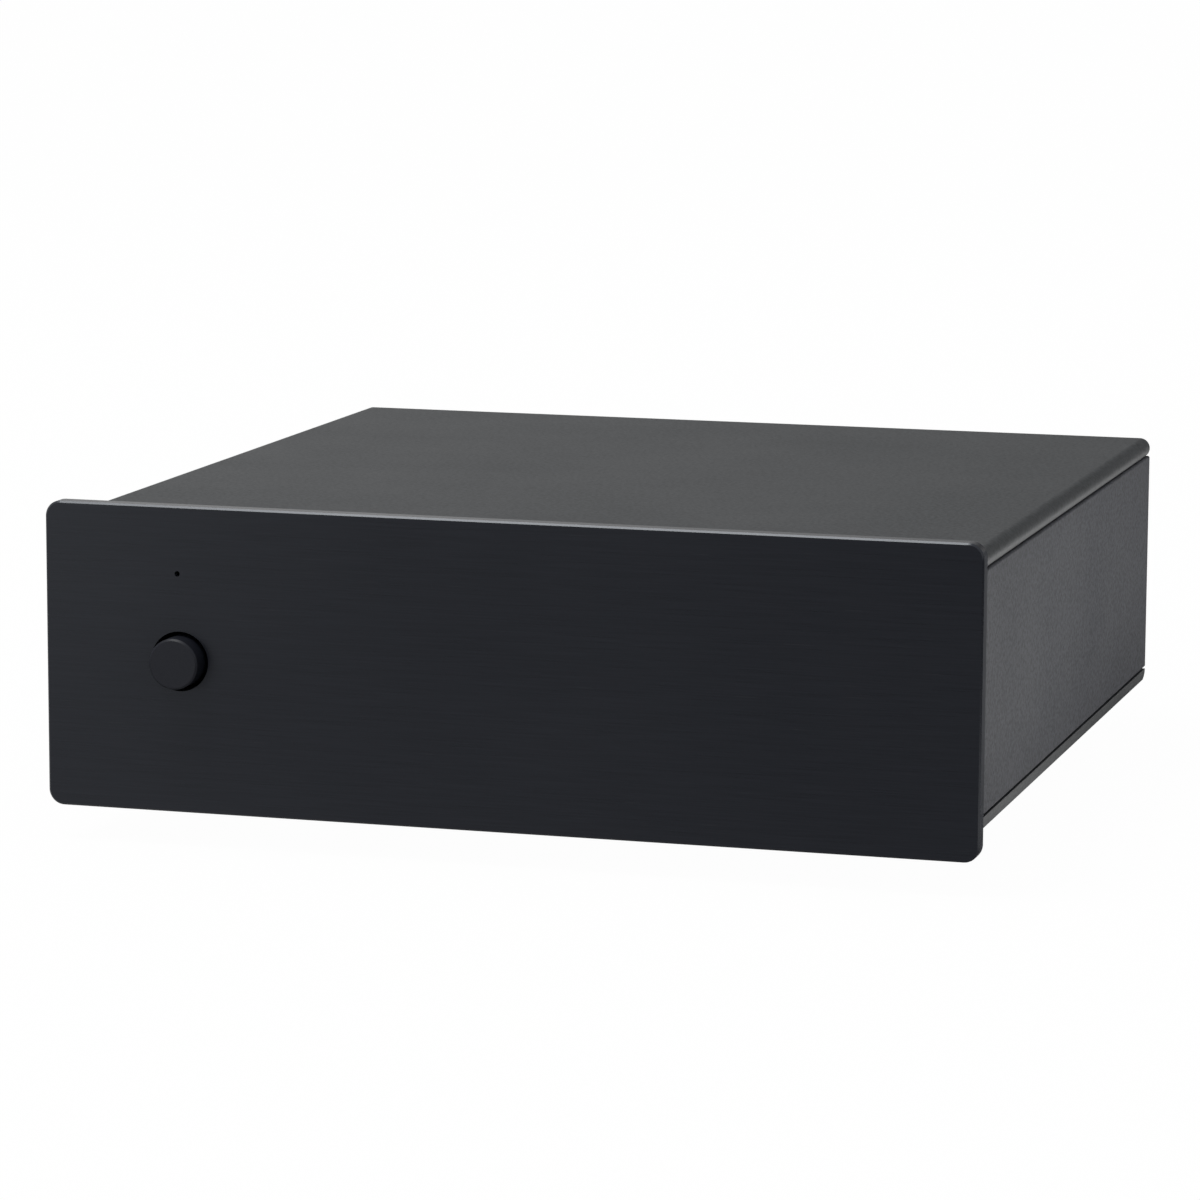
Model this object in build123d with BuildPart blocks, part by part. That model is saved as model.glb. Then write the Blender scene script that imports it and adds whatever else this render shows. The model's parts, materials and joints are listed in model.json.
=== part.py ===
from build123d import *
import os

# A small phono preamp in a metal case. Two side rails carry a sliding top cover, a screwed
# bottom cover and an inner panel at each end; a thin face plate hides the front one. The
# circuit board slides in grooves of the rails and carries the sockets, the power switch, the
# light and two banks of setting switches that are reached from below.
#
# Millimetres. X runs to the right, Y from the front to the rear, Z up. The origin is at the
# middle of the box that holds the whole object, on the surface that the feet stand on.

os.makedirs("parts", exist_ok=True)

# ------------------------------------------------------------------ driving sizes: the case
case_width = 100.6
case_height = 29.7
case_depth = 100.15
foot_height = 5.65

face_plate_thickness = 1.75
face_plate_overhang = 1.2  # beyond each side of the case
face_plate_rise = 1.65  # above the case
face_plate_drop = 1.95  # below the case
face_plate_corner_radius = 1.7
face_plate_edge_chamfer = 0.2

top_cover_thickness = 2.0
top_cover_edge_radius = 1.2
bottom_cover_thickness = 1.4
bottom_cover_edge_radius = 4.0
top_seam_gap = 0.12
bottom_seam_gap = 0.2
seam_depth = 0.8

rail_wall = 1.8
rail_edge_radius = 0.25
rail_top_flange_width = 8.4
rail_top_flange_thickness = 1.5
rail_bottom_flange_width = 12.0
rail_bottom_flange_thickness = 1.5
rail_pad_width = 4.8
rail_pad_thickness = 1.2
port_radius = 2.3
port_inset = 3.2
rib_reach = 2.2
rib_thickness = 1.0
hook_thickness = 1.2
hook_reach = 2.9
hook_clearance = 0.2

panel_thickness = 1.5
panel_clearance = 0.15
rear_recess = 0.3

# ------------------------------------------------------------------ driving sizes: fasteners
case_screw_radius = 1.25
case_screw_head_radius = 2.25
case_screw_head_angle = 90.0
case_screw_length = 8.0
bottom_screw_length = 3.6
bottom_screw_inset = 8.6
bottom_screw_end_margin = 12.0
screw_point_chamfer = 0.3
cross_slot_length = 2.4
cross_slot_width = 0.5
cross_slot_depth = 0.7
thread_clearance = 0.02
screw_hole_clearance = 0.15
stud_radius = 1.25
stud_embed = 1.0
stud_side_inset = 25.3
stud_top_inset = 3.65
stud_end_margin = 0.6
stud_nut_across_flats = 5.0
stud_nut_thickness = 2.0
nut_sides = 6

# ------------------------------------------------------------------ driving sizes: feet
foot_top_radius = 5.5
foot_bottom_radius = 4.9
foot_edge_radius = 0.5
foot_neck_radius = 2.0
foot_neck_clearance = 0.1
foot_barb_radius = 2.8
foot_barb_tip_radius = 1.6
foot_barb_height = 2.2
foot_inset_x = 17.5
foot_inset_front = 28.0
foot_inset_rear = 20.0

# ------------------------------------------------------------------ driving sizes: the board
board_thickness = 1.6
board_side_clearance = 0.3
board_end_clearance = 0.3
board_slot_clearance = 0.1

# ------------------------------------------------------------------ driving sizes: light
light_inset = 15.1  # from the face plate's left edge
light_drop = 7.3  # below the face plate's upper edge
pinhole_radius = 0.3
lens_radius = 1.5
lens_length = 4.8
lens_tip_gap = 0.2
lens_flange_radius = 1.9
lens_flange_length = 1.0
lead_side = 0.5
lead_spacing = 2.54
lead_run = 2.0
lead_spread = 4.4
light_holder_leg = 2.0
light_holder_bridge = 1.4
light_holder_head_width = 5.2
light_holder_front_gap = 0.5
light_holder_depth = 5.0
light_holder_cap = 2.6
light_holder_arch_gap = 0.65
light_clearance = 0.05

# ------------------------------------------------------------------ driving sizes: power button
button_inset = 15.3  # from the face plate's left edge
button_height = 16.5  # above the face plate's lower edge
button_radius = 2.75
button_protrusion = 2.1
button_edge_chamfer = 0.2
button_gap = 0.5
button_tail = 3.0
button_travel = 1.5
plunger_radius = 1.5
plunger_grip = 5.0
plunger_sleeve_radius = 2.3
plunger_sleeve_start = 7.5
plunger_sleeve_length = 5.0
shaft_radius = 1.2
shaft_grip = 4.0
shaft_in_body = 5.0
shaft_running_clearance = 0.05
push_clearance = 0.02
spring_wire_radius = 0.2
spring_turns = 4
spring_side_clearance = 0.15
spring_length = 3.6
switch_width = 8.5
switch_height = 8.3
switch_depth = 12.0

# ------------------------------------------------------------------ driving sizes: sockets
socket_axis_height = 6.2  # above the board
jack_spacing = 14.0
input_jack_inset = 22.8  # middle of the input pair from the right side of the case
output_jack_spacing = 20.5  # middle of the output pair from the power socket
jack_block_side = 5.6
jack_block_depth = 11.0
jack_block_height = 12.4
jack_collar_radius = 5.4
jack_collar_reach = 3.0
jack_collar_clearance = 0.15
jack_embed = 6.0
shell_radius = 4.15
shell_wall = 0.6
shell_root_step = 0.25
shell_reach = 12.5
shell_lip_chamfer = 0.25
insulator_setback = 1.2
contact_radius = 1.9
contact_wall = 0.25
contact_setback = 0.4
contact_bore_depth = 9.0

power_jack_inset = 12.3  # from the left side of the case
power_jack_width = 9.4
power_jack_depth = 14.0
power_jack_height = 10.6
power_jack_nose_radius = 4.2
power_jack_bore_radius = 2.9
power_jack_bore_depth = 9.5
power_pin_radius = 1.25
power_pin_tip_radius = 0.6
power_pin_embed = 2.0
power_pin_setback = 0.5

ground_post_radius = 2.0
ground_post_reach = 15.0
ground_post_inner_length = 5.5
ground_flange_radius = 4.5
ground_flange_thickness = 2.0
ground_hole_clearance = 0.15
ground_nut_radius = 4.75
ground_nut_length = 7.5
ground_nut_edge_chamfer = 0.5
ground_nut_grooves = 24
ground_nut_groove_radius = 0.35
ground_running_clearance = 0.05
ground_washer_radius = 4.2
ground_washer_thickness = 0.8
ground_inner_nut_across_flats = 7.0
ground_inner_nut_thickness = 3.2
ground_lug_radius = 3.6
ground_lug_thickness = 0.5
ground_lug_tail_width = 2.4

# ------------------------------------------------------------------ driving sizes: setting switches
bank_spacing = 32.0
bank_from_front = 62.0
bank_recess = 1.8  # above the bottom cover
bank_ways = 6
bank_way_spacing = 2.54
bank_end_wall = 0.5
bank_width = 9.6
bank_lip = 0.8
bank_chamber_height = 1.2
bank_slot_width = 1.1
bank_chamber_width = 1.8
bank_window_clearance = 0.6
slider_length = 1.6
slider_travel = 1.6
slider_proud = 0.7
slider_clearance = 0.05

# ------------------------------------------------------------------ driving sizes: board parts
can_radius = 4.0
can_height = 11.0
can_edge_radius = 0.5
can_groove_radius = 0.35
can_groove_lift = 2.0
can_spacing = 10.0
can_side_inset = 12.3
signal_can_count = 3
signal_can_from_front = 30.0
supply_can_from_rear = 31.2

regulator_width = 8.0
regulator_thickness = 3.2
regulator_height = 11.0
regulator_hole_radius = 1.6
regulator_hole_height = 7.2
regulator_from_can = 19.0

film_length = 7.2
film_width = 3.5
film_height = 7.0
film_edge_radius = 0.3
film_columns = 3
film_rows = 2
film_spacing = 10.0
film_field_x = 14.0
film_from_front = 45.0

chip_length = 4.9
chip_width = 3.9
chip_height = 1.5
chip_count = 4
chip_spacing = 12.0
chip_field_x = 6.0
chip_from_rear = 26.2
chip_lead_reach = 6.0
chip_lead_width = 0.4
chip_lead_thickness = 0.3
chip_lead_rows = 4
chip_lead_spacing = 1.27

resistor_length = 3.2
resistor_width = 1.6
resistor_height = 0.6
resistor_columns = 8
resistor_rows = 3
resistor_column_spacing = 4.4
resistor_row_spacing = 3.2
resistor_field_x = -9.0
resistor_from_front = 28.0

# ------------------------------------------------------------------ places worked out from them
case_bottom = foot_height
case_top = case_bottom + case_height
face_plate_width = case_width + 2 * face_plate_overhang
face_plate_height = face_plate_drop + case_height + face_plate_rise
face_plate_left = -face_plate_width / 2
face_plate_bottom = case_bottom - face_plate_drop
face_plate_top = case_top + face_plate_rise
face_plate_middle = (face_plate_bottom + face_plate_top) / 2

whole_depth = button_protrusion + face_plate_thickness + case_depth + ground_post_reach
face_front = button_protrusion - whole_depth / 2
case_front = face_front + face_plate_thickness
case_rear = case_front + case_depth
front_panel_back = case_front + panel_thickness
rear_panel_face = case_rear - rear_recess
rear_panel_back = rear_panel_face - panel_thickness

cover_seat = case_top - top_cover_thickness
floor_top = case_bottom + bottom_cover_thickness
opening_width = case_width - 2 * rail_wall
opening_height = cover_seat - floor_top
opening_middle = (cover_seat + floor_top) / 2

port_x = case_width / 2 - rail_wall - port_inset
port_high = cover_seat - rail_top_flange_thickness - port_inset
port_low = floor_top + rail_bottom_flange_thickness + port_inset
port_places = [(side * port_x, height) for side in (-1, 1) for height in (port_low, port_high)]
screw_hole_radius = case_screw_radius + thread_clearance

bottom_screw_x = case_width / 2 - bottom_screw_inset
bottom_screw_places = [
    (side * bottom_screw_x, y)
    for side in (-1, 1)
    for y in (case_front + bottom_screw_end_margin, case_rear - bottom_screw_end_margin)
]

foot_x = case_width / 2 - foot_inset_x
foot_places = {
    "front_left": (-foot_x, case_front + foot_inset_front),
    "front_right": (foot_x, case_front + foot_inset_front),
    "rear_left": (-foot_x, case_rear - foot_inset_rear),
    "rear_right": (foot_x, case_rear - foot_inset_rear),
}

button_x = face_plate_left + button_inset
button_z = face_plate_bottom + button_height
light_x = face_plate_left + light_inset
light_z = face_plate_top - light_drop

# The switch stands on the board in line with the button, which sets the board's height.
board_top = button_z - switch_height / 2
board_bottom = board_top - board_thickness
board_front = front_panel_back + board_end_clearance
board_rear = rear_panel_back - board_end_clearance

stud_x = case_width / 2 - stud_side_inset
stud_heights = ((floor_top + board_bottom) / 2, cover_seat - stud_top_inset)
stud_places = [(side * stud_x, height) for side in (-1, 1) for height in stud_heights]

# Along the rear, seen from the front: power, output pair, ground terminal, input pair.
socket_axis = board_top + socket_axis_height
power_jack_x = power_jack_inset - case_width / 2
jack_pair_x = {
    "input": case_width / 2 - input_jack_inset,
    "output": power_jack_x + output_jack_spacing,
}
jack_places = {
    f"{pair}_{channel}": pair_x + side * jack_spacing / 2
    for pair, pair_x in jack_pair_x.items()
    for channel, side in (("left", 1), ("right", -1))
}
ground_x = (jack_places["output_left"] + jack_places["input_right"]) / 2

bank_x = {"left": -bank_spacing / 2, "right": bank_spacing / 2}
bank_length = bank_ways * bank_way_spacing + 2 * bank_end_wall
bank_y = case_front + bank_from_front
bank_bottom = floor_top + bank_recess
bank_slot_length = slider_length + slider_travel + 2 * slider_clearance


# ------------------------------------------------------------------ planes and shared shapes
def upright(y):
    """A plane across the object at depth y: its x is X and its y is Z. It faces the front."""
    return Plane.XZ.offset(-y)


def facing_front(x, y, z):
    """A plane at a point, looking to the front."""
    return Plane((x, y, z), x_dir=(1, 0, 0), z_dir=(0, -1, 0))


def facing_rear(x, y, z):
    """A plane at a point, looking to the rear."""
    return Plane((x, y, z), x_dir=(-1, 0, 0), z_dir=(0, 1, 0))


def facing_down(x, y, z):
    """A plane at a point, looking down."""
    return Plane((x, y, z), x_dir=(1, 0, 0), z_dir=(0, 0, -1))


def countersunk_screw(length):
    """A countersunk case screw that hangs from the origin, with a cross slot in its flat head."""
    head_height = case_screw_head_radius - case_screw_radius
    with BuildPart() as screw:
        with BuildSketch(Plane.XZ):
            with BuildLine():
                Polyline(
                    (0, 0),
                    (case_screw_head_radius, 0),
                    (case_screw_radius, -head_height),
                    (case_screw_radius, screw_point_chamfer - length),
                    (case_screw_radius - screw_point_chamfer, -length),
                    (0, -length),
                    close=True,
                )
            make_face()
        revolve(axis=Axis.Z)
        with BuildSketch(Plane.XY):
            Rectangle(cross_slot_length, cross_slot_width)
            Rectangle(cross_slot_width, cross_slot_length)
        extrude(amount=-cross_slot_depth, mode=Mode.SUBTRACT)
    return screw.part


# ------------------------------------------------------------------ face plate
with BuildPart() as face_plate:
    with BuildSketch(upright(face_front)):
        with Locations((0, face_plate_middle)):
            RectangleRounded(face_plate_width, face_plate_height, face_plate_corner_radius)
    extrude(amount=-face_plate_thickness)
    chamfer(face_plate.faces().sort_by(Axis.Y)[0].edges(), face_plate_edge_chamfer)
    with BuildSketch(upright(face_front)):
        with Locations((button_x, button_z)):
            Circle(button_radius + button_gap)
        with Locations((light_x, light_z)):
            Circle(pinhole_radius)
    extrude(amount=-face_plate_thickness, mode=Mode.SUBTRACT)
    with BuildSketch(upright(case_front - stud_embed)):
        with Locations(*stud_places):
            Circle(stud_radius + thread_clearance)
    extrude(amount=-stud_embed, mode=Mode.SUBTRACT)

face_plate.part.label = "face_plate"
export_step(face_plate.part, "parts/face_plate.step")

# The studs stand in blind holes behind the face plate, so that nothing shows in front.
stud_length = stud_embed + panel_thickness + stud_nut_thickness + stud_end_margin

with BuildPart() as face_plate_studs:
    with BuildSketch(upright(case_front - stud_embed)):
        with Locations(*stud_places):
            Circle(stud_radius)
    extrude(amount=-stud_length)

face_plate_studs.part.label = "face_plate_studs"
export_step(face_plate_studs.part, "parts/face_plate_studs.step")

with BuildPart() as face_plate_nuts:
    with BuildSketch(upright(front_panel_back)):
        with Locations(*stud_places):
            RegularPolygon(stud_nut_across_flats / 2, nut_sides, major_radius=False)
            Circle(stud_radius + thread_clearance, mode=Mode.SUBTRACT)
    extrude(amount=-stud_nut_thickness)

face_plate_nuts.part.label = "face_plate_nuts"
export_step(face_plate_nuts.part, "parts/face_plate_nuts.step")

# ------------------------------------------------------------------ inner front panel
panel_width = opening_width - 2 * panel_clearance
panel_height = opening_height - 2 * panel_clearance

with BuildPart() as front_panel:
    with BuildSketch(upright(case_front)):
        with Locations((0, opening_middle)):
            Rectangle(panel_width, panel_height)
        with Locations((button_x, button_z)):
            Circle(button_radius + button_gap, mode=Mode.SUBTRACT)
        with Locations((light_x, light_z)):
            Circle(lens_radius + screw_hole_clearance, mode=Mode.SUBTRACT)
        with Locations(*stud_places):
            Circle(stud_radius + screw_hole_clearance, mode=Mode.SUBTRACT)
    extrude(amount=-panel_thickness)
    with Locations(*[facing_front(x, case_front, z) for x, z in port_places]):
        CounterSinkHole(
            case_screw_radius + thread_clearance,
            case_screw_head_radius + thread_clearance,
            panel_thickness,
            counter_sink_angle=case_screw_head_angle,
        )

front_panel.part.label = "front_panel"
export_step(front_panel.part, "parts/front_panel.step")

panel_screw = countersunk_screw(case_screw_length)

with BuildPart() as front_panel_screws:
    with Locations(*[facing_front(x, case_front, z) for x, z in port_places]):
        add(panel_screw)

front_panel_screws.part.label = "front_panel_screws"
export_step(front_panel_screws.part, "parts/front_panel_screws.step")

# ------------------------------------------------------------------ side rails
# The outline of a rail's section on the right side, from the top seam round the outside. The
# edges beside both covers are stepped in, which leaves the shadow gap of the seams. A screw
# port runs along each inner corner on a web, two ribs hold the board's edge between them, and
# a pad on the bottom flange gives the bottom cover's screws more thread.
rail_face = case_width / 2
rail_inside = rail_face - rail_wall
rail_outline = [
    (rail_face - seam_depth, cover_seat),
    (rail_face - seam_depth, cover_seat - top_seam_gap),
    (rail_face, cover_seat - top_seam_gap),
    (rail_face, floor_top + bottom_seam_gap),
    (rail_face - seam_depth, floor_top + bottom_seam_gap),
    (rail_face - seam_depth, floor_top),
    (rail_face - rail_bottom_flange_width, floor_top),
    (rail_face - rail_bottom_flange_width, floor_top + rail_bottom_flange_thickness),
    (rail_inside, floor_top + rail_bottom_flange_thickness),
    (rail_inside, cover_seat - rail_top_flange_thickness),
    (rail_face - rail_top_flange_width, cover_seat - rail_top_flange_thickness),
    (rail_face - rail_top_flange_width, cover_seat),
]
rib_heights = (
    board_bottom - rib_thickness / 2,
    board_top + board_slot_clearance + rib_thickness / 2,
)
rib_x = rail_inside - rib_reach / 2
web_x = rail_inside - port_inset / 2
web_heights = (port_low - port_inset / 2, port_high + port_inset / 2)
pad_height = floor_top + rail_bottom_flange_thickness + rail_pad_thickness / 2
rear_seat_depth = panel_thickness + rear_recess

for side, side_name in ((-1, "left"), (1, "right")):
    with BuildPart() as side_rail:
        with BuildSketch(upright(case_front)):
            with BuildLine():
                Polyline(*[(side * x, z) for x, z in rail_outline], close=True)
            make_face()
            with Locations(*[(side * port_x, z) for z in (port_low, port_high)]):
                Circle(port_radius)
            with Locations(*[(side * web_x, z) for z in web_heights]):
                Rectangle(port_inset, port_inset)
            with Locations(*[(side * rib_x, z) for z in rib_heights]):
                Rectangle(rib_reach, rib_thickness)
            with Locations((side * bottom_screw_x, pad_height)):
                Rectangle(rail_pad_width, rail_pad_thickness)
            with Locations(*[(side * port_x, z) for z in (port_low, port_high)]):
                Circle(screw_hole_radius, mode=Mode.SUBTRACT)
        extrude(amount=-case_depth)
        outer_edges = side_rail.edges().filter_by(Axis.Y).group_by(Axis.X)[0 if side < 0 else -1]
        fillet(outer_edges, rail_edge_radius)
        # Both ends are cut back inside the wall to seat the end panels.
        with BuildSketch(upright(case_front)):
            with Locations((0, opening_middle)):
                Rectangle(opening_width, opening_height)
        extrude(amount=-panel_thickness, mode=Mode.SUBTRACT)
        with BuildSketch(upright(case_rear)):
            with Locations((0, opening_middle)):
                Rectangle(opening_width, opening_height)
        extrude(amount=rear_seat_depth, mode=Mode.SUBTRACT)
        with BuildSketch(Plane.XY.offset(floor_top)):
            with Locations(*bottom_screw_places):
                Circle(screw_hole_radius)
        extrude(amount=rail_bottom_flange_thickness + rail_pad_thickness, mode=Mode.SUBTRACT)
    side_rail.part.label = f"side_rail_{side_name}"
    export_step(side_rail.part, f"parts/side_rail_{side_name}.step")

# ------------------------------------------------------------------ top cover
# Each long edge is rolled in one arc, which the underside cuts a little short of its return.
# Two hooked ribs under the cover slide along the rails' top flanges and stop it lifting.
hook_length = case_depth - panel_thickness - rear_seat_depth
hook_rib_outer = rail_face - rail_top_flange_width - hook_clearance
hook_rib_x = hook_rib_outer - hook_thickness / 2
hook_drop = rail_top_flange_thickness + hook_clearance + hook_thickness
hook_foot_x = hook_rib_outer - hook_thickness + hook_reach / 2
top_edge_x = rail_face - top_cover_edge_radius

with BuildPart() as top_cover:
    with BuildSketch(upright(case_front)):
        with Locations((0, case_top - top_cover_thickness / 2)):
            Rectangle(case_width - 2 * top_cover_edge_radius, top_cover_thickness)
        with Locations(*[(side * top_edge_x, case_top - top_cover_edge_radius) for side in (-1, 1)]):
            Circle(top_cover_edge_radius)
        with Locations((0, case_top - top_cover_thickness / 2)):
            Rectangle(case_width, top_cover_thickness, mode=Mode.INTERSECT)
    extrude(amount=-case_depth)
    with BuildSketch(upright(front_panel_back)):
        with Locations(*[(side * hook_rib_x, cover_seat - hook_drop / 2) for side in (-1, 1)]):
            Rectangle(hook_thickness, hook_drop)
        with Locations(
            *[(side * hook_foot_x, cover_seat - hook_drop + hook_thickness / 2) for side in (-1, 1)]
        ):
            Rectangle(hook_reach, hook_thickness)
    extrude(amount=-hook_length)

top_cover.part.label = "top_cover"
export_step(top_cover.part, "parts/top_cover.step")

# ------------------------------------------------------------------ bottom cover
# Each long edge curves in gently from the seam to the underside.
window_length = bank_length + 2 * bank_window_clearance
window_width = bank_width + 2 * bank_window_clearance
bottom_edge_x = rail_face - bottom_cover_edge_radius

with BuildPart() as bottom_cover:
    with BuildSketch(upright(case_front)):
        with Locations((0, floor_top - bottom_cover_thickness / 2)):
            Rectangle(case_width - 2 * bottom_cover_edge_radius, bottom_cover_thickness)
        with Locations(*[(side * bottom_edge_x, floor_top) for side in (-1, 1)]):
            Circle(bottom_cover_edge_radius)
        with Locations((0, floor_top - bottom_cover_thickness / 2)):
            Rectangle(case_width, bottom_cover_thickness, mode=Mode.INTERSECT)
    extrude(amount=-case_depth)
    with BuildSketch(Plane.XY.offset(case_bottom)):
        with Locations(*foot_places.values()):
            Circle(foot_neck_radius + foot_neck_clearance)
        with Locations(*[(x, bank_y) for x in bank_x.values()]):
            Rectangle(window_length, window_width)
    extrude(amount=bottom_cover_thickness, mode=Mode.SUBTRACT)
    with Locations(*[facing_down(x, y, case_bottom) for x, y in bottom_screw_places]):
        CounterSinkHole(
            case_screw_radius + thread_clearance,
            case_screw_head_radius + thread_clearance,
            bottom_cover_thickness,
            counter_sink_angle=case_screw_head_angle,
        )

bottom_cover.part.label = "bottom_cover"
export_step(bottom_cover.part, "parts/bottom_cover.step")

bottom_screw = countersunk_screw(bottom_screw_length)

with BuildPart() as bottom_cover_screws:
    with Locations(*[facing_down(x, y, case_bottom) for x, y in bottom_screw_places]):
        add(bottom_screw)

bottom_cover_screws.part.label = "bottom_cover_screws"
export_step(bottom_cover_screws.part, "parts/bottom_cover_screws.step")

# ------------------------------------------------------------------ feet
# Each rubber foot is pulled through its hole in the bottom cover until its barb snaps out.
for foot_name, foot_place in foot_places.items():
    with BuildPart() as foot:
        with BuildSketch(facing_front(foot_place[0], foot_place[1], 0)):
            with BuildLine():
                Polyline(
                    (0, 0),
                    (foot_bottom_radius, 0),
                    (foot_top_radius, foot_height),
                    (foot_neck_radius, foot_height),
                    (foot_neck_radius, floor_top),
                    (foot_barb_radius, floor_top),
                    (foot_barb_tip_radius, floor_top + foot_barb_height),
                    (0, floor_top + foot_barb_height),
                    close=True,
                )
            make_face()
        revolve(axis=Axis((foot_place[0], foot_place[1], 0), (0, 0, 1)))
        fillet(foot.edges().filter_by(GeomType.CIRCLE).group_by(Axis.Z)[0], foot_edge_radius)
    foot.part.label = f"foot_{foot_name}"
    export_step(foot.part, f"parts/foot_{foot_name}.step")

# ------------------------------------------------------------------ rear panel
with BuildPart() as rear_panel:
    with BuildSketch(upright(rear_panel_back)):
        with Locations((0, opening_middle)):
            Rectangle(panel_width, panel_height)
        with Locations(*[(x, socket_axis) for x in jack_places.values()]):
            Circle(jack_collar_radius + jack_collar_clearance, mode=Mode.SUBTRACT)
        with Locations((power_jack_x, socket_axis)):
            Circle(power_jack_nose_radius + jack_collar_clearance, mode=Mode.SUBTRACT)
        with Locations((ground_x, socket_axis)):
            Circle(ground_post_radius + ground_hole_clearance, mode=Mode.SUBTRACT)
    extrude(amount=-panel_thickness)
    with Locations(*[facing_rear(x, rear_panel_face, z) for x, z in port_places]):
        CounterSinkHole(
            case_screw_radius + thread_clearance,
            case_screw_head_radius + thread_clearance,
            panel_thickness,
            counter_sink_angle=case_screw_head_angle,
        )

rear_panel.part.label = "rear_panel"
export_step(rear_panel.part, "parts/rear_panel.step")

with BuildPart() as rear_panel_screws:
    with Locations(*[facing_rear(x, rear_panel_face, z) for x, z in port_places]):
        add(panel_screw)

rear_panel_screws.part.label = "rear_panel_screws"
export_step(rear_panel_screws.part, "parts/rear_panel_screws.step")

# ------------------------------------------------------------------ circuit board
board_width = opening_width - 2 * board_side_clearance

with BuildPart() as circuit_board:
    with BuildSketch(Plane.XY.offset(board_bottom)):
        with Locations((0, (board_front + board_rear) / 2)):
            Rectangle(board_width, board_rear - board_front)
    extrude(amount=board_thickness)

circuit_board.part.label = "circuit_board"
export_step(circuit_board.part, "parts/circuit_board.step")

# ------------------------------------------------------------------ power light
# The light's dome looks through the inner panel at a pinhole in the face plate. Its holder
# stands on the board astride the button's plunger, and its leads are bent round the plunger.
lens_tip = case_front + lens_tip_gap
lens_flange_front = lens_tip + lens_length
lens_flange_back = lens_flange_front + lens_flange_length
holder_front = front_panel_back + light_holder_front_gap
holder_top = light_z + light_holder_cap
lead_back = lens_flange_back + lead_run
lead_mid_y = lead_back - lead_side / 2
lead_elbow_x = (lead_spread + lead_spacing / 2) / 2
arch_half_width = button_radius + light_holder_arch_gap
arch_top = button_z + arch_half_width
bridge_top = arch_top + light_holder_bridge

with BuildPart() as light_holder:
    with BuildSketch(upright(holder_front)):
        with Locations((button_x, (board_top + bridge_top) / 2)):
            Rectangle(2 * (arch_half_width + light_holder_leg), bridge_top - board_top)
        with Locations((light_x, (arch_top + holder_top) / 2)):
            Rectangle(light_holder_head_width, holder_top - arch_top)
        with Locations((light_x, light_z)):
            Circle(lens_radius + light_clearance, mode=Mode.SUBTRACT)
        with Locations((button_x, (board_top + arch_top) / 2)):
            Rectangle(2 * arch_half_width, arch_top - board_top, mode=Mode.SUBTRACT)
    extrude(amount=-light_holder_depth)
    with BuildSketch(upright(lens_flange_front)):
        with Locations((light_x, light_z)):
            Circle(lens_flange_radius + light_clearance)
    extrude(amount=-light_holder_depth, mode=Mode.SUBTRACT)

light_holder.part.label = "light_holder"
export_step(light_holder.part, "parts/light_holder.step")

with BuildPart() as power_light:
    with BuildSketch(upright(lens_tip + lens_radius)):
        with Locations((light_x, light_z)):
            Circle(lens_radius)
    extrude(amount=lens_radius - lens_length)
    with Locations((light_x, lens_tip + lens_radius, light_z)):
        Sphere(lens_radius)
    with BuildSketch(upright(lens_flange_front)):
        with Locations((light_x, light_z)):
            Circle(lens_flange_radius)
    extrude(amount=-lens_flange_length)
    with BuildSketch(upright(lens_flange_back)):
        with Locations(*[(light_x + side * lead_spacing / 2, light_z) for side in (-1, 1)]):
            Rectangle(lead_side, lead_side)
    extrude(amount=-lead_run)
    with BuildSketch(Plane.XY.offset(light_z - lead_side / 2)):
        with Locations(*[(light_x + side * lead_elbow_x, lead_mid_y) for side in (-1, 1)]):
            Rectangle(lead_spread - lead_spacing / 2 + lead_side, lead_side)
    extrude(amount=lead_side)
    with BuildSketch(Plane.XY.offset(board_top)):
        with Locations(*[(light_x + side * lead_spread, lead_mid_y) for side in (-1, 1)]):
            Rectangle(lead_side, lead_side)
    extrude(amount=light_z - board_top)

power_light.part.label = "power_light"
export_step(power_light.part, "parts/power_light.step")

# ------------------------------------------------------------------ power button and its switch
button_front = face_front - button_protrusion
button_back = front_panel_back + button_tail
plunger_front = button_back - plunger_grip
sleeve_front = front_panel_back + plunger_sleeve_start
sleeve_back = sleeve_front + plunger_sleeve_length
shaft_front = sleeve_back - shaft_grip
switch_front = sleeve_back + spring_length
shaft_back = switch_front + shaft_in_body

with BuildPart() as power_button:
    with BuildSketch(upright(button_front)):
        with Locations((button_x, button_z)):
            Circle(button_radius)
    extrude(amount=button_front - button_back)
    chamfer(power_button.faces().sort_by(Axis.Y)[0].edges(), button_edge_chamfer)
    with BuildSketch(upright(plunger_front)):
        with Locations((button_x, button_z)):
            Circle(plunger_radius + push_clearance)
    extrude(amount=-plunger_grip, mode=Mode.SUBTRACT)

power_button.part.label = "power_button"
export_step(power_button.part, "parts/power_button.step")

with BuildPart() as button_plunger:
    with BuildSketch(upright(plunger_front)):
        with Locations((button_x, button_z)):
            Circle(plunger_radius)
    extrude(amount=plunger_front - sleeve_front)
    with BuildSketch(upright(sleeve_front)):
        with Locations((button_x, button_z)):
            Circle(plunger_sleeve_radius)
    extrude(amount=-plunger_sleeve_length)
    with BuildSketch(upright(shaft_front)):
        with Locations((button_x, button_z)):
            Circle(shaft_radius + push_clearance)
    extrude(amount=-shaft_grip, mode=Mode.SUBTRACT)

button_plunger.part.label = "button_plunger"
export_step(button_plunger.part, "parts/button_plunger.step")

with BuildPart() as switch_shaft:
    with BuildSketch(upright(shaft_front)):
        with Locations((button_x, button_z)):
            Circle(shaft_radius)
    extrude(amount=shaft_front - shaft_back)

switch_shaft.part.label = "switch_shaft"
export_step(switch_shaft.part, "parts/switch_shaft.step")

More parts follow.
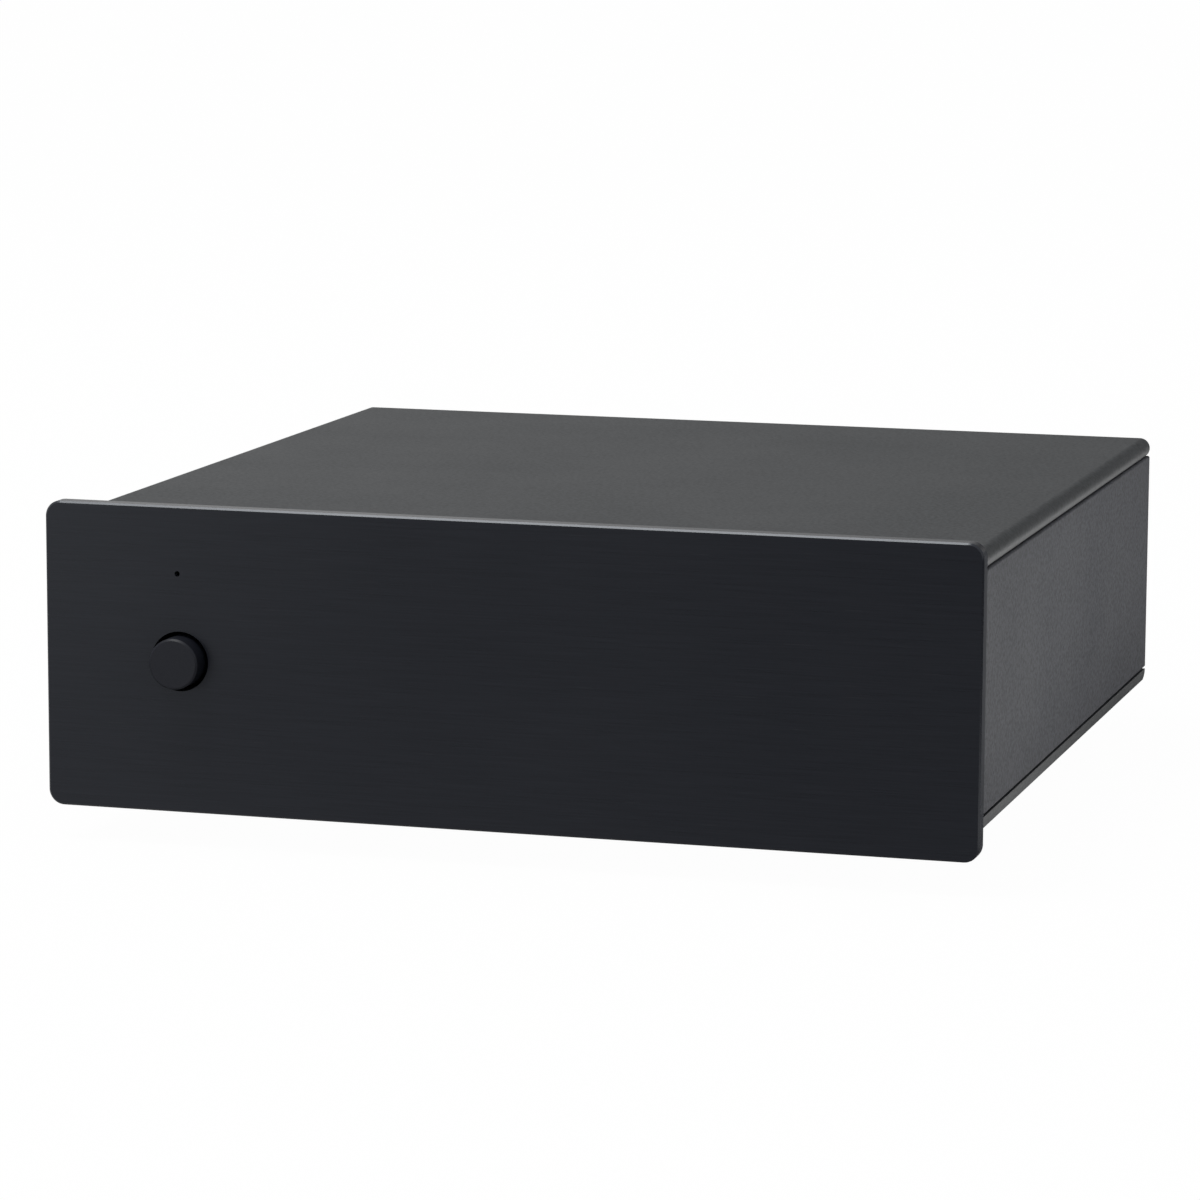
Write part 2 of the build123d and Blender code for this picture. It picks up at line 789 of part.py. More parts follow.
with BuildPart() as switch_body:
    with BuildSketch(upright(switch_front)):
        with Locations((button_x, board_top + switch_height / 2)):
            Rectangle(switch_width, switch_height)
    extrude(amount=-switch_depth)
    with BuildSketch(upright(switch_front)):
        with Locations((button_x, button_z)):
            Circle(shaft_radius + shaft_running_clearance)
    extrude(amount=-(shaft_in_body + 2 * button_travel), mode=Mode.SUBTRACT)

switch_body.part.label = "switch_body"
export_step(switch_body.part, "parts/switch_body.step")

# A coil spring round the shaft, from the plunger's sleeve to the switch body.
spring_radius = shaft_radius + spring_side_clearance + spring_wire_radius
spring_rise = spring_length - 2 * spring_wire_radius
spring_start = (button_x, sleeve_back + spring_wire_radius, button_z)

with BuildPart() as switch_spring:
    with BuildLine() as spring_path:
        Helix(
            spring_rise / spring_turns,
            spring_rise,
            spring_radius,
            center=spring_start,
            direction=(0, 1, 0),
        )
    with BuildSketch(Plane(origin=spring_path.line @ 0, z_dir=spring_path.line % 0)):
        Circle(spring_wire_radius)
    sweep(path=spring_path.line, is_frenet=True)

switch_spring.part.label = "switch_spring"
export_step(switch_spring.part, "parts/switch_spring.step")

# ------------------------------------------------------------------ signal sockets
# Each moulded block carries two sockets, and its collars reach out through the rear panel.
jack_root = rear_panel_back - jack_embed
collar_end = case_rear + jack_collar_reach
shell_root_radius = shell_radius + shell_root_step
shell_end = case_rear + shell_reach
insulator_end = shell_end - insulator_setback
contact_end = insulator_end - contact_setback
shell_bore_radius = shell_radius - shell_wall

for pair, pair_x in jack_pair_x.items():
    pair_sockets = [x for name, x in jack_places.items() if name.startswith(pair)]
    with BuildPart() as jack_block:
        with BuildSketch(upright(rear_panel_back)):
            with Locations((pair_x, board_top + jack_block_height / 2)):
                Rectangle(jack_spacing + 2 * jack_block_side, jack_block_height)
        extrude(amount=jack_block_depth)
        with BuildSketch(upright(rear_panel_back)):
            with Locations(*[(x, socket_axis) for x in pair_sockets]):
                Circle(jack_collar_radius)
        extrude(amount=rear_panel_back - collar_end)
        with BuildSketch(upright(jack_root)):
            with Locations(*[(x, socket_axis) for x in pair_sockets]):
                Circle(shell_root_radius + push_clearance)
        extrude(amount=jack_root - collar_end, mode=Mode.SUBTRACT)
    jack_block.part.label = f"{pair}_jack_block"
    export_step(jack_block.part, f"parts/{pair}_jack_block.step")

for socket_name, socket_x in jack_places.items():
    with BuildPart() as socket_shell:
        with BuildSketch(upright(jack_root)):
            with Locations((socket_x, socket_axis)):
                Circle(shell_radius)
        extrude(amount=jack_root - shell_end)
        chamfer(socket_shell.faces().sort_by(Axis.Y)[-1].edges(), shell_lip_chamfer)
        with BuildSketch(upright(jack_root)):
            with Locations((socket_x, socket_axis)):
                Circle(shell_root_radius)
        extrude(amount=jack_root - collar_end)
        with BuildSketch(upright(jack_root)):
            with Locations((socket_x, socket_axis)):
                Circle(shell_bore_radius)
        extrude(amount=jack_root - shell_end, mode=Mode.SUBTRACT)
    socket_shell.part.label = f"{socket_name}_socket_shell"
    export_step(socket_shell.part, f"parts/{socket_name}_socket_shell.step")

# The left channel's insulators are white and the right channel's are red.
for channel, colour in (("left", "white"), ("right", "red")):
    channel_sockets = [x for name, x in jack_places.items() if name.endswith(channel)]
    with BuildPart() as socket_insulators:
        with BuildSketch(upright(jack_root)):
            with Locations(*[(x, socket_axis) for x in channel_sockets]):
                Circle(shell_bore_radius - push_clearance)
                Circle(contact_radius + push_clearance, mode=Mode.SUBTRACT)
        extrude(amount=jack_root - insulator_end)
    socket_insulators.part.label = f"socket_insulators_{colour}"
    export_step(socket_insulators.part, f"parts/socket_insulators_{colour}.step")

with BuildPart() as socket_contacts:
    with BuildSketch(upright(jack_root)):
        with Locations(*[(x, socket_axis) for x in jack_places.values()]):
            Circle(contact_radius)
    extrude(amount=jack_root - contact_end)
    with BuildSketch(upright(contact_end)):
        with Locations(*[(x, socket_axis) for x in jack_places.values()]):
            Circle(contact_radius - contact_wall)
    extrude(amount=contact_bore_depth, mode=Mode.SUBTRACT)

socket_contacts.part.label = "socket_contacts"
export_step(socket_contacts.part, "parts/socket_contacts.step")

# ------------------------------------------------------------------ power socket
power_pin_end = case_rear - power_pin_setback
power_bore_root = case_rear - power_jack_bore_depth

with BuildPart() as power_jack_body:
    with BuildSketch(upright(rear_panel_back)):
        with Locations((power_jack_x, board_top + power_jack_height / 2)):
            Rectangle(power_jack_width, power_jack_height)
    extrude(amount=power_jack_depth)
    with BuildSketch(upright(rear_panel_back)):
        with Locations((power_jack_x, socket_axis)):
            Circle(power_jack_nose_radius)
    extrude(amount=rear_panel_back - case_rear)
    with BuildSketch(upright(power_bore_root)):
        with Locations((power_jack_x, socket_axis)):
            Circle(power_jack_bore_radius)
    extrude(amount=-power_jack_bore_depth, mode=Mode.SUBTRACT)
    with BuildSketch(upright(power_bore_root)):
        with Locations((power_jack_x, socket_axis)):
            Circle(power_pin_radius + push_clearance)
    extrude(amount=power_pin_embed, mode=Mode.SUBTRACT)

power_jack_body.part.label = "power_jack_body"
export_step(power_jack_body.part, "parts/power_jack_body.step")

with BuildPart() as power_jack_pin:
    with BuildSketch(upright(power_bore_root - power_pin_embed)):
        with Locations((power_jack_x, socket_axis)):
            Circle(power_pin_radius)
    extrude(amount=-(power_pin_end - power_bore_root + power_pin_embed))
    fillet(power_jack_pin.faces().sort_by(Axis.Y)[-1].edges(), power_pin_tip_radius)

power_jack_pin.part.label = "power_jack_pin"
export_step(power_jack_pin.part, "parts/power_jack_pin.step")

# ------------------------------------------------------------------ ground terminal
ground_flange_face = rear_panel_face + ground_flange_thickness
ground_washer_face = ground_flange_face + ground_washer_thickness
ground_bore_radius = ground_post_radius + ground_running_clearance
ground_inner_end = rear_panel_back - ground_post_inner_length

with BuildPart() as ground_post:
    with BuildSketch(upright(ground_inner_end)):
        with Locations((ground_x, socket_axis)):
            Circle(ground_post_radius)
    extrude(amount=-(case_rear + ground_post_reach - ground_inner_end))
    with BuildSketch(upright(rear_panel_face)):
        with Locations((ground_x, socket_axis)):
            Circle(ground_flange_radius)
    extrude(amount=-ground_flange_thickness)

ground_post.part.label = "ground_post"
export_step(ground_post.part, "parts/ground_post.step")

with BuildPart() as ground_washer:
    with BuildSketch(upright(ground_flange_face)):
        with Locations((ground_x, socket_axis)):
            Circle(ground_washer_radius)
            Circle(ground_bore_radius, mode=Mode.SUBTRACT)
    extrude(amount=-ground_washer_thickness)

ground_washer.part.label = "ground_washer"
export_step(ground_washer.part, "parts/ground_washer.step")

with BuildPart() as ground_nut:
    with BuildSketch(upright(ground_washer_face)):
        with Locations((ground_x, socket_axis)):
            Circle(ground_nut_radius)
    extrude(amount=-ground_nut_length)
    nut_rims = ground_nut.edges().filter_by(GeomType.CIRCLE).sort_by(Axis.Y)
    chamfer(nut_rims, ground_nut_edge_chamfer)
    with BuildSketch(upright(ground_washer_face)):
        with Locations((ground_x, socket_axis)):
            Circle(ground_bore_radius)
            with PolarLocations(ground_nut_radius, ground_nut_grooves):
                Circle(ground_nut_groove_radius)
    extrude(amount=-ground_nut_length, mode=Mode.SUBTRACT)

ground_nut.part.label = "ground_nut"
export_step(ground_nut.part, "parts/ground_nut.step")

# Inside, a ring lug is clamped by a hex nut, and its tail runs down to the board.
with BuildPart() as ground_lug:
    with BuildSketch(upright(rear_panel_back - ground_lug_thickness)):
        with Locations((ground_x, socket_axis)):
            Circle(ground_lug_radius)
        with Locations((ground_x, (board_top + socket_axis) / 2)):
            Rectangle(ground_lug_tail_width, socket_axis - board_top)
        with Locations((ground_x, socket_axis)):
            Circle(ground_post_radius + ground_hole_clearance, mode=Mode.SUBTRACT)
    extrude(amount=-ground_lug_thickness)

ground_lug.part.label = "ground_lug"
export_step(ground_lug.part, "parts/ground_lug.step")

with BuildPart() as ground_inner_nut:
    with BuildSketch(upright(rear_panel_back - ground_lug_thickness)):
        with Locations((ground_x, socket_axis)):
            RegularPolygon(ground_inner_nut_across_flats / 2, nut_sides, major_radius=False)
            Circle(ground_post_radius + thread_clearance, mode=Mode.SUBTRACT)
    extrude(amount=ground_inner_nut_thickness)

ground_inner_nut.part.label = "ground_inner_nut"
export_step(ground_inner_nut.part, "parts/ground_inner_nut.step")

# ------------------------------------------------------------------ setting switches
# Two banks hang under the board, over windows in the bottom cover. Each slider's foot is wider
# than the slot that its stem comes through, and runs in a chamber behind the slot.
slot_first = -(bank_ways - 1) * bank_way_spacing / 2
chamber_bottom = bank_bottom + bank_lip
slider_y = bank_y - slider_travel / 2

for bank_name, bank_middle in bank_x.items():
    slot_xs = [bank_middle + slot_first + way * bank_way_spacing for way in range(bank_ways)]
    with BuildPart() as setting_bank:
        with BuildSketch(Plane.XY.offset(bank_bottom)):
            with Locations((bank_middle, bank_y)):
                Rectangle(bank_length, bank_width)
        extrude(amount=board_bottom - bank_bottom)
        with BuildSketch(Plane.XY.offset(bank_bottom)):
            with Locations(*[(x, bank_y) for x in slot_xs]):
                Rectangle(bank_slot_width, bank_slot_length)
        extrude(amount=bank_lip, mode=Mode.SUBTRACT)
        with BuildSketch(Plane.XY.offset(chamber_bottom)):
            with Locations(*[(x, bank_y) for x in slot_xs]):
                Rectangle(bank_chamber_width, bank_slot_length)
        extrude(amount=bank_chamber_height, mode=Mode.SUBTRACT)
    setting_bank.part.label = f"setting_bank_{bank_name}"
    export_step(setting_bank.part, f"parts/setting_bank_{bank_name}.step")

    # At rest each slider is at the front end of its slot.
    for way, slot_x in enumerate(slot_xs, start=1):
        with BuildPart() as setting_slider:
            with BuildSketch(Plane.XY.offset(bank_bottom - slider_proud)):
                with Locations((slot_x, slider_y)):
                    Rectangle(bank_slot_width - 2 * slider_clearance, slider_length)
            extrude(amount=slider_proud + bank_lip + 2 * slider_clearance)
            with BuildSketch(Plane.XY.offset(chamber_bottom + slider_clearance)):
                with Locations((slot_x, slider_y)):
                    Rectangle(bank_chamber_width - 2 * slider_clearance, slider_length)
            extrude(amount=bank_chamber_height - 2 * slider_clearance)
        setting_slider.part.label = f"slider_{bank_name}_{way}"
        export_step(setting_slider.part, f"parts/slider_{bank_name}_{way}.step")

# ------------------------------------------------------------------ parts on the board
# The signal's cans stand in a row from the right side, and the supply's behind the power switch.
can_side_x = case_width / 2 - can_side_inset
supply_can_y = case_rear - supply_can_from_rear
can_places = [
    (can_side_x - step * can_spacing, case_front + signal_can_from_front)
    for step in range(signal_can_count)
] + [
    (-can_side_x, supply_can_y),
    (-can_side_x, supply_can_y - can_spacing),
    (can_spacing - can_side_x, supply_can_y - can_spacing),
]

with BuildPart() as electrolytic_capacitors:
    with BuildSketch(Plane.XY.offset(board_top)):
        with Locations(*can_places):
            Circle(can_radius)
    extrude(amount=can_height)
    fillet(electrolytic_capacitors.edges().group_by(Axis.Z)[-1], can_edge_radius)
    with Locations(*[(x, y, board_top + can_groove_lift) for x, y in can_places]):
        Torus(can_radius, can_groove_radius, mode=Mode.SUBTRACT)

electrolytic_capacitors.part.label = "electrolytic_capacitors"
export_step(electrolytic_capacitors.part, "parts/electrolytic_capacitors.step")

regulator_x = regulator_from_can - can_side_x
regulator_y = supply_can_y - can_spacing / 2

with BuildPart() as voltage_regulator:
    with BuildSketch(Plane.XY.offset(board_top)):
        with Locations((regulator_x, regulator_y)):
            Rectangle(regulator_width, regulator_thickness)
    extrude(amount=regulator_height)
    with BuildSketch(upright(regulator_y - regulator_thickness / 2)):
        with Locations((regulator_x, board_top + regulator_hole_height)):
            Circle(regulator_hole_radius)
    extrude(amount=-regulator_thickness, mode=Mode.SUBTRACT)

voltage_regulator.part.label = "voltage_regulator"
export_step(voltage_regulator.part, "parts/voltage_regulator.step")

with BuildPart() as film_capacitors:
    with BuildSketch(Plane.XY.offset(board_top)):
        with Locations((film_field_x, case_front + film_from_front)):
            with GridLocations(film_spacing, film_spacing, film_columns, film_rows):
                Rectangle(film_length, film_width)
    extrude(amount=film_height)
    fillet(film_capacitors.edges().group_by(Axis.Z)[-1], film_edge_radius)

film_capacitors.part.label = "film_capacitors"
export_step(film_capacitors.part, "parts/film_capacitors.step")

chip_field = (chip_field_x, case_rear - chip_from_rear)

with BuildPart() as audio_chips:
    with BuildSketch(Plane.XY.offset(board_top)):
        with Locations(chip_field):
            with GridLocations(chip_spacing, 0, chip_count, 1):
                Rectangle(chip_width, chip_length)
    extrude(amount=chip_height)
    with BuildSketch(Plane.XY.offset(board_top)):
        with Locations(chip_field):
            with GridLocations(chip_spacing, chip_lead_spacing, chip_count, chip_lead_rows):
                Rectangle(chip_lead_reach, chip_lead_width)
    extrude(amount=chip_lead_thickness)

audio_chips.part.label = "audio_chips"
export_step(audio_chips.part, "parts/audio_chips.step")

with BuildPart() as resistors:
    with BuildSketch(Plane.XY.offset(board_top)):
        with Locations((resistor_field_x, case_front + resistor_from_front)):
            with GridLocations(
                resistor_column_spacing, resistor_row_spacing, resistor_columns, resistor_rows
            ):
                Rectangle(resistor_length, resistor_width)
    extrude(amount=resistor_height)

resistors.part.label = "resistors"
export_step(resistors.part, "parts/resistors.step")
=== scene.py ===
# %% [markdown]
# # A phono preamp in a black metal case
#
# This notebook dresses a small hi-fi box in Blender. The box itself is a fixed frame: its covers,
# rails, sockets and screws are already solid models at their real size, and they move on joints.
# What is made here is what an engineer's model leaves out: the brushed and coated finishes, the
# thread on the ground post, the tread of the rubber feet, the turned and knurled metal at the
# rear, the numbers printed beside the setting switches, and the light that shows them.
#
# Everything is in metres, with Z up, and the front of the box looks along -Y.

# %% Load the frame
import json
import math

import bpy
from mathutils import Matrix, Vector


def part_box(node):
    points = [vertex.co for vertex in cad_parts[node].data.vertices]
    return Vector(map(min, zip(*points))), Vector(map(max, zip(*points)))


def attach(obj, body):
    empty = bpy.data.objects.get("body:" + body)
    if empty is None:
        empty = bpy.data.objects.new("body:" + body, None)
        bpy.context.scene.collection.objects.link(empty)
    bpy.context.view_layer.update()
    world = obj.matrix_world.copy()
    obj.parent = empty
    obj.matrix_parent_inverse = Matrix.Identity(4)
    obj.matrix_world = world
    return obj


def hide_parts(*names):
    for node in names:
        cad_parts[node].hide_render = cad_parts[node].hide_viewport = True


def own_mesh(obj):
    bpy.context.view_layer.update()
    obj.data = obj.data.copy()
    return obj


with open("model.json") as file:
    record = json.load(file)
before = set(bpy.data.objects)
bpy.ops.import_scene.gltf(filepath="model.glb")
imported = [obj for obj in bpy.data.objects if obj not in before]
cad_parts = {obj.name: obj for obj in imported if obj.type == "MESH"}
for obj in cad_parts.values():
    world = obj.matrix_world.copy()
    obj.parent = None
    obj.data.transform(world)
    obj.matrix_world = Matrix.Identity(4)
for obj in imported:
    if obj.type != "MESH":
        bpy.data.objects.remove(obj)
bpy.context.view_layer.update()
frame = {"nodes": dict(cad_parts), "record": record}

nodes = frame["nodes"]
MM = 0.001

# %% [markdown]
# ## The camera
#
# A small product is best shown from well back and with a long lens, so that the box has almost no
# perspective. Here the lens is 150 mm on a 36 mm sensor, a little over half a metre away. The
# camera is described the way a person would say it: how far round to the right it stands, how
# far above the horizon, how far away, and the point it is aimed at. Blender needs a rotation, and
# a 3 x 3 matrix of the camera's own right, up and back directions is the plainest way to give it.

# %% Place the camera
camera_azimuth = math.radians(16.313)
camera_elevation = math.radians(9.162)
camera_roll = math.radians(0.250)
camera_distance = 563.84 * MM
camera_target = Vector((-0.975, -17.4, 22.478)) * MM

camera_data = bpy.data.cameras.new("camera")
camera_data.lens = 150.0
camera_data.sensor_width = 36.0
camera_data.clip_start = 0.01
camera_data.clip_end = 20.0
camera = bpy.data.objects.new("camera", camera_data)
bpy.context.scene.collection.objects.link(camera)
bpy.context.scene.camera = camera

camera_back = Vector(
    (
        math.sin(camera_azimuth) * math.cos(camera_elevation),
        -math.cos(camera_azimuth) * math.cos(camera_elevation),
        math.sin(camera_elevation),
    )
)
level_right = Vector((0, 0, 1)).cross(camera_back).normalized()
level_up = camera_back.cross(level_right)
camera_right = level_right * math.cos(camera_roll) + level_up * math.sin(camera_roll)
camera_up = level_up * math.cos(camera_roll) - level_right * math.sin(camera_roll)
camera_turn = Matrix((camera_right, camera_up, camera_back)).transposed()
camera.matrix_world = (
    Matrix.Translation(camera_target + camera_back * camera_distance) @ camera_turn.to_4x4()
)
print("camera at", [round(c / MM, 1) for c in camera.matrix_world.translation], "mm")

# %% [markdown]
# ## Small helpers for modelling
#
# An operator in Blender acts on whatever is selected, so each new piece starts by deselecting
# everything. Then it alone is selected and made active, as a click on it would do.

# %% Selecting objects
def object_mode():
    """Leave edit mode."""
    bpy.ops.object.mode_set(mode="OBJECT")


def nothing_selected():
    """Deselect everything, so that the next operator acts on the new piece alone."""
    if bpy.context.object and bpy.context.object.mode != "OBJECT":
        object_mode()
    bpy.ops.object.select_all(action="DESELECT")


def only(obj):
    """Select one object and make it the active one."""
    nothing_selected()
    obj.select_set(True)
    bpy.context.view_layer.objects.active = obj


nothing_selected()

# %% [markdown]
# Inside edit mode the same holds for points, edges and faces. They are picked here by where they
# are, which still works when a size changes. A script picks them while the mesh is in object mode,
# because what it sets on a mesh during edit mode is lost.

# %% Selecting points, edges and faces
def edit(obj, select_mode, items, chosen):
    """Go into edit mode with only the items that chosen(item) picks selected."""
    only(obj)
    bpy.ops.object.mode_set(mode="EDIT")
    bpy.ops.mesh.select_mode(type=select_mode)
    bpy.ops.mesh.select_all(action="DESELECT")
    object_mode()
    count = 0
    for item in getattr(obj.data, items):
        item.select = bool(chosen(item))
        count += item.select
    bpy.ops.object.mode_set(mode="EDIT")
    return count


def edit_points(obj, chosen):
    """Edit the points whose place chosen(place) picks."""
    return edit(obj, "VERT", "vertices", lambda point: chosen(point.co))


def edit_edges(obj, chosen):
    """Edit the edges whose two ends chosen(a, b) picks."""
    return edit(
        obj, "EDGE", "edges", lambda edge: chosen(*(obj.data.vertices[end].co for end in edge.vertices))
    )


def edit_faces(obj, chosen):
    """Edit the faces that chosen(face) picks."""
    return edit(obj, "FACE", "polygons", chosen)


print("ways to pick:", [pick.__name__ for pick in (edit_points, edit_edges, edit_faces)])

# %% [markdown]
# The other helpers do what a modeller does over and over. These three apply a modifier, join
# pieces, and leave an object at the origin with its place in its mesh, as the frame's parts are.

# %% Applying and joining
def settle(obj):
    """Move the object's place into its mesh, so that the object sits at the origin."""
    only(obj)
    bpy.ops.object.transform_apply(location=True, rotation=True, scale=True)
    return obj


def apply_modifier(obj, kind, **settings):
    """Add a modifier, set it and apply it at once."""
    only(obj)
    modifier = obj.modifiers.new(kind.lower(), kind)
    for name, value in settings.items():
        setattr(modifier, name, value)
    bpy.ops.object.modifier_apply(modifier=modifier.name)
    return obj


def joined(name, *pieces):
    """Join several meshes into one object."""
    only(pieces[0])
    for piece in pieces[1:]:
        piece.select_set(True)
    bpy.ops.object.join()
    pieces[0].name = name
    pieces[0].data.name = name
    return pieces[0]


print("modelling helpers:", settle.__name__, apply_modifier.__name__, joined.__name__)

# %% [markdown]
# A mesh that has just been modelled often has doubled points and faces that look inwards, and both
# spoil its shading. So each piece is cleaned, and then shaded smooth except at its real edges. The
# last helper finds the middle of a part of the frame, which is where most new pieces go.

# %% Cleaning and smoothing
merge_distance = 1e-7


def smooth(obj, angle):
    """Shade smooth, but keep every edge sharper than the angle, in degrees."""
    only(obj)
    bpy.ops.object.shade_smooth_by_angle(angle=math.radians(angle))
    return obj


def faces_out(obj):
    """Merge doubles and turn every face outwards."""
    only(obj)
    bpy.ops.object.mode_set(mode="EDIT")
    bpy.ops.mesh.select_all(action="SELECT")
    bpy.ops.mesh.remove_doubles(threshold=merge_distance)
    bpy.ops.mesh.normals_make_consistent(inside=False)
    object_mode()
    return obj


def middle(node):
    """The middle of a part's box."""
    low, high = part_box(node)
    return (low + high) / 2


print("the button's middle is at", [round(c / MM, 2) for c in middle("power_button")], "mm")

# %% [markdown]
# ## Small helpers for finishes
#
# A finish is a few shader nodes. Its constants are set on the Principled shader's own sockets.
# Adding a node, setting its sockets and plugging it in takes three lines each time, so two small
# functions do it.

# %% Building shader nodes
def start_finish(name, colour, roughness, metallic=0.0, ior=1.5):
    """A new material with its constant values set on the shader's own sockets."""
    material = bpy.data.materials.new(name)
    material.use_nodes = True
    shader = material.node_tree.nodes["Principled BSDF"]
    shader.inputs["Base Color"].default_value = (*colour, 1.0)
    shader.inputs["Roughness"].default_value = roughness
    shader.inputs["Metallic"].default_value = metallic
    shader.inputs["IOR"].default_value = ior
    return material, material.node_tree, shader


def add(tree, kind, inputs=None, **settings):
    """Add a node, with the values of its sockets and its settings."""
    made = tree.nodes.new(kind)
    for name, value in settings.items():
        setattr(made, name, value)
    for name, value in (inputs or {}).items():
        made.inputs[name].default_value = value
    return made


def connect(tree, output, node, socket):
    """Plug an output into a socket of a node."""
    tree.links.new(output, node.inputs[socket])


finishes = {}
slot_of = {part["node"]: part["material_slot"] for part in frame["record"]["subparts"]}
print("finishes to make:", sorted(set(slot_of.values())))

# %% [markdown]
# Nearly all finishes start the same way: the object's own coordinates, stretched by a Mapping node,
# drive a noise, and the noise nudges the colour, the roughness and the bump. Object coordinates are
# in metres here, so a noise scale of 3000 gives grain about a third of a millimetre across, which
# is the size of the grain in powder coat.

# %% Noise, colour and bump
def noise(tree, scale, stretch=(1.0, 1.0, 1.0), detail=2.0):
    """A noise on object coordinates. Stretch above 1 makes the grain finer along that axis."""
    place = add(tree, "ShaderNodeTexCoord")
    mapping = add(tree, "ShaderNodeMapping", {"Scale": stretch})
    texture = add(tree, "ShaderNodeTexNoise", {"Scale": scale, "Detail": detail})
    connect(tree, place.outputs["Object"], mapping, "Vector")
    connect(tree, mapping.outputs["Vector"], texture, "Vector")
    return texture.outputs["Fac"]


def spread(tree, source, low=0.0, high=1.0, from_low=0.3, from_high=0.7):
    """Turn a noise into a value between low and high."""
    made = add(
        tree,
        "ShaderNodeMapRange",
        {"From Min": from_low, "From Max": from_high, "To Min": low, "To Max": high},
    )
    connect(tree, source, made, "Value")
    return made.outputs["Result"]


def tint(tree, factor, dark, light):
    """A colour between dark and light."""
    made = add(tree, "ShaderNodeMix", {"A": (*dark, 1.0), "B": (*light, 1.0)}, data_type="RGBA")
    connect(tree, factor, made, "Factor")
    return made.outputs["Result"]


def bump(tree, height, distance, strength=1.0, under=None):
    """A bump of a real height in metres, on top of another bump if there is one."""
    made = add(tree, "ShaderNodeBump", {"Strength": strength, "Distance": distance})
    connect(tree, height, made, "Height")
    if under is not None:
        connect(tree, under, made, "Normal")
    return made.outputs["Normal"]


print("a finish is made of", noise.__name__, spread.__name__, tint.__name__, "and", bump.__name__)

# %% [markdown]
# ## Brushed black anodising: the face plate
#
# The face plate is a sheet of aluminium, brushed along its length with an abrasive belt and then
# anodised black. The dye sinks into the oxide, so the metal keeps its brush lines but reflects
# little. Seen straight on it is nearly black, and along its edges, at a grazing angle, it still
# mirrors the room: that is why its top edge shows as a pale line.
#
# The belt never reaches the plate's two ends, which stay as dull as the saw left them. They could
# get a material of their own, but the surface's own direction, its normal, picks them out too.

# %% Picking out the dull ends
end_start = 0.86
end_full = 0.94
end_roughness = 0.85


def sideways(tree, start, full):
    """How far a surface faces left or right: 0 up to start, 1 from full on."""
    facing = add(tree, "ShaderNodeTexCoord")
    parts = add(tree, "ShaderNodeSeparateXYZ")
    connect(tree, facing.outputs["Normal"], parts, "Vector")
    unsigned = add(tree, "ShaderNodeMath", operation="ABSOLUTE")
    connect(tree, parts.outputs["X"], unsigned, 0)
    return spread(tree, unsigned.outputs["Value"], from_low=start, from_high=full)


def covered(tree, kind, under, cover, share):
    """One constant laid over a changing value or colour, as far as the share says."""
    made = add(tree, "ShaderNodeMix", {"B": cover}, data_type=kind)
    connect(tree, share, made, "Factor")
    connect(tree, under, made, "A")
    return made.outputs["Result"]


print("dull ends face within", round(math.degrees(math.acos(end_start))), "degrees of sideways")

# %% [markdown]
# The brush lines could be modelled one by one, but a noise that is about fifty times finer across
# the plate than along it gives the same thing. A second one, sparse and finer still, lightens the
# colour in a few streaks: painted glints, where brush lines would catch the light. A slow one lets
# the gloss drift.

# %% Brushed black anodising
line_scale = 60.0
line_stretch = (2.2, 120.0, 120.0)
line_depth = 0.9e-6
line_dark = (0.0090, 0.0099, 0.0139)
line_light = (0.0124, 0.0134, 0.0184)
glint_streak_scale = 34.0
glint_streak_stretch = (5.0, 150.0, 150.0)
glint_streak_colour = (0.022, 0.023, 0.027)
glint_streak_start = 0.70
glint_streak_full = 0.90
patch_scale = 26.0
patch_smoothest = 0.22
patch_roughest = 0.27
plate_roughness = 0.24


def brushed_black():
    """Fine horizontal brush lines under a black anodised layer, with a few painted glints."""
    material, tree, shader = start_finish(
        "brushed_black_anodising", line_light, plate_roughness, ior=1.45
    )
    shader.inputs["Specular Tint"].default_value = (0.91, 0.95, 1.0, 1.0)
    lines = noise(tree, line_scale, line_stretch, detail=4.0)
    glint_streaks = noise(tree, glint_streak_scale, glint_streak_stretch)
    patches = noise(tree, patch_scale)
    brushed = tint(tree, spread(tree, lines), line_dark, line_light)
    # Painted glints: a few sparse streaks of lighter colour, where brush lines would catch the light.
    few = spread(tree, glint_streaks, from_low=glint_streak_start, from_high=glint_streak_full)
    colour = covered(tree, "RGBA", brushed, (*glint_streak_colour, 1.0), few)
    connect(tree, colour, shader, "Base Color")
    gloss = spread(tree, patches, patch_smoothest, patch_roughest)
    dull_ends = covered(tree, "FLOAT", gloss, end_roughness, sideways(tree, end_start, end_full))
    connect(tree, dull_ends, shader, "Roughness")
    connect(tree, bump(tree, lines, line_depth), shader, "Normal")
    return material


finishes["black_brushed_aluminium"] = brushed_black()
print("made", finishes["black_brushed_aluminium"].name)

# %% [markdown]
# ## Black powder coat: covers, side rails and rear panel
#
# The case is coated with a fine black powder that is melted on in an oven. It leaves a grain of
# low, round bumps, a fifth to a half of a millimetre across, and a satin sheen. Seen along the
# surface, the grain breaks the reflection into a soft grey, which is most of what the top and the
# side show. The side rails are sprayed on their own, thicker, so their grain is coarser: the same
# function makes both coats, with another height, and for the rails a lighter colour, which is
# painted light for the lit side of the box. In both, the colour is darker in the pits and lighter
# on the crowns of the grain: painted shade and painted highlight.

# %% Black powder coat
grain_scale = 2400.0
grain_pits = 0.34
grain_crowns = 0.62
grain_strength = 0.8
dust_scale = 6500.0
dust_share = 1 / 3
cloud_scale = 45.0
gloss_drift = 0.03


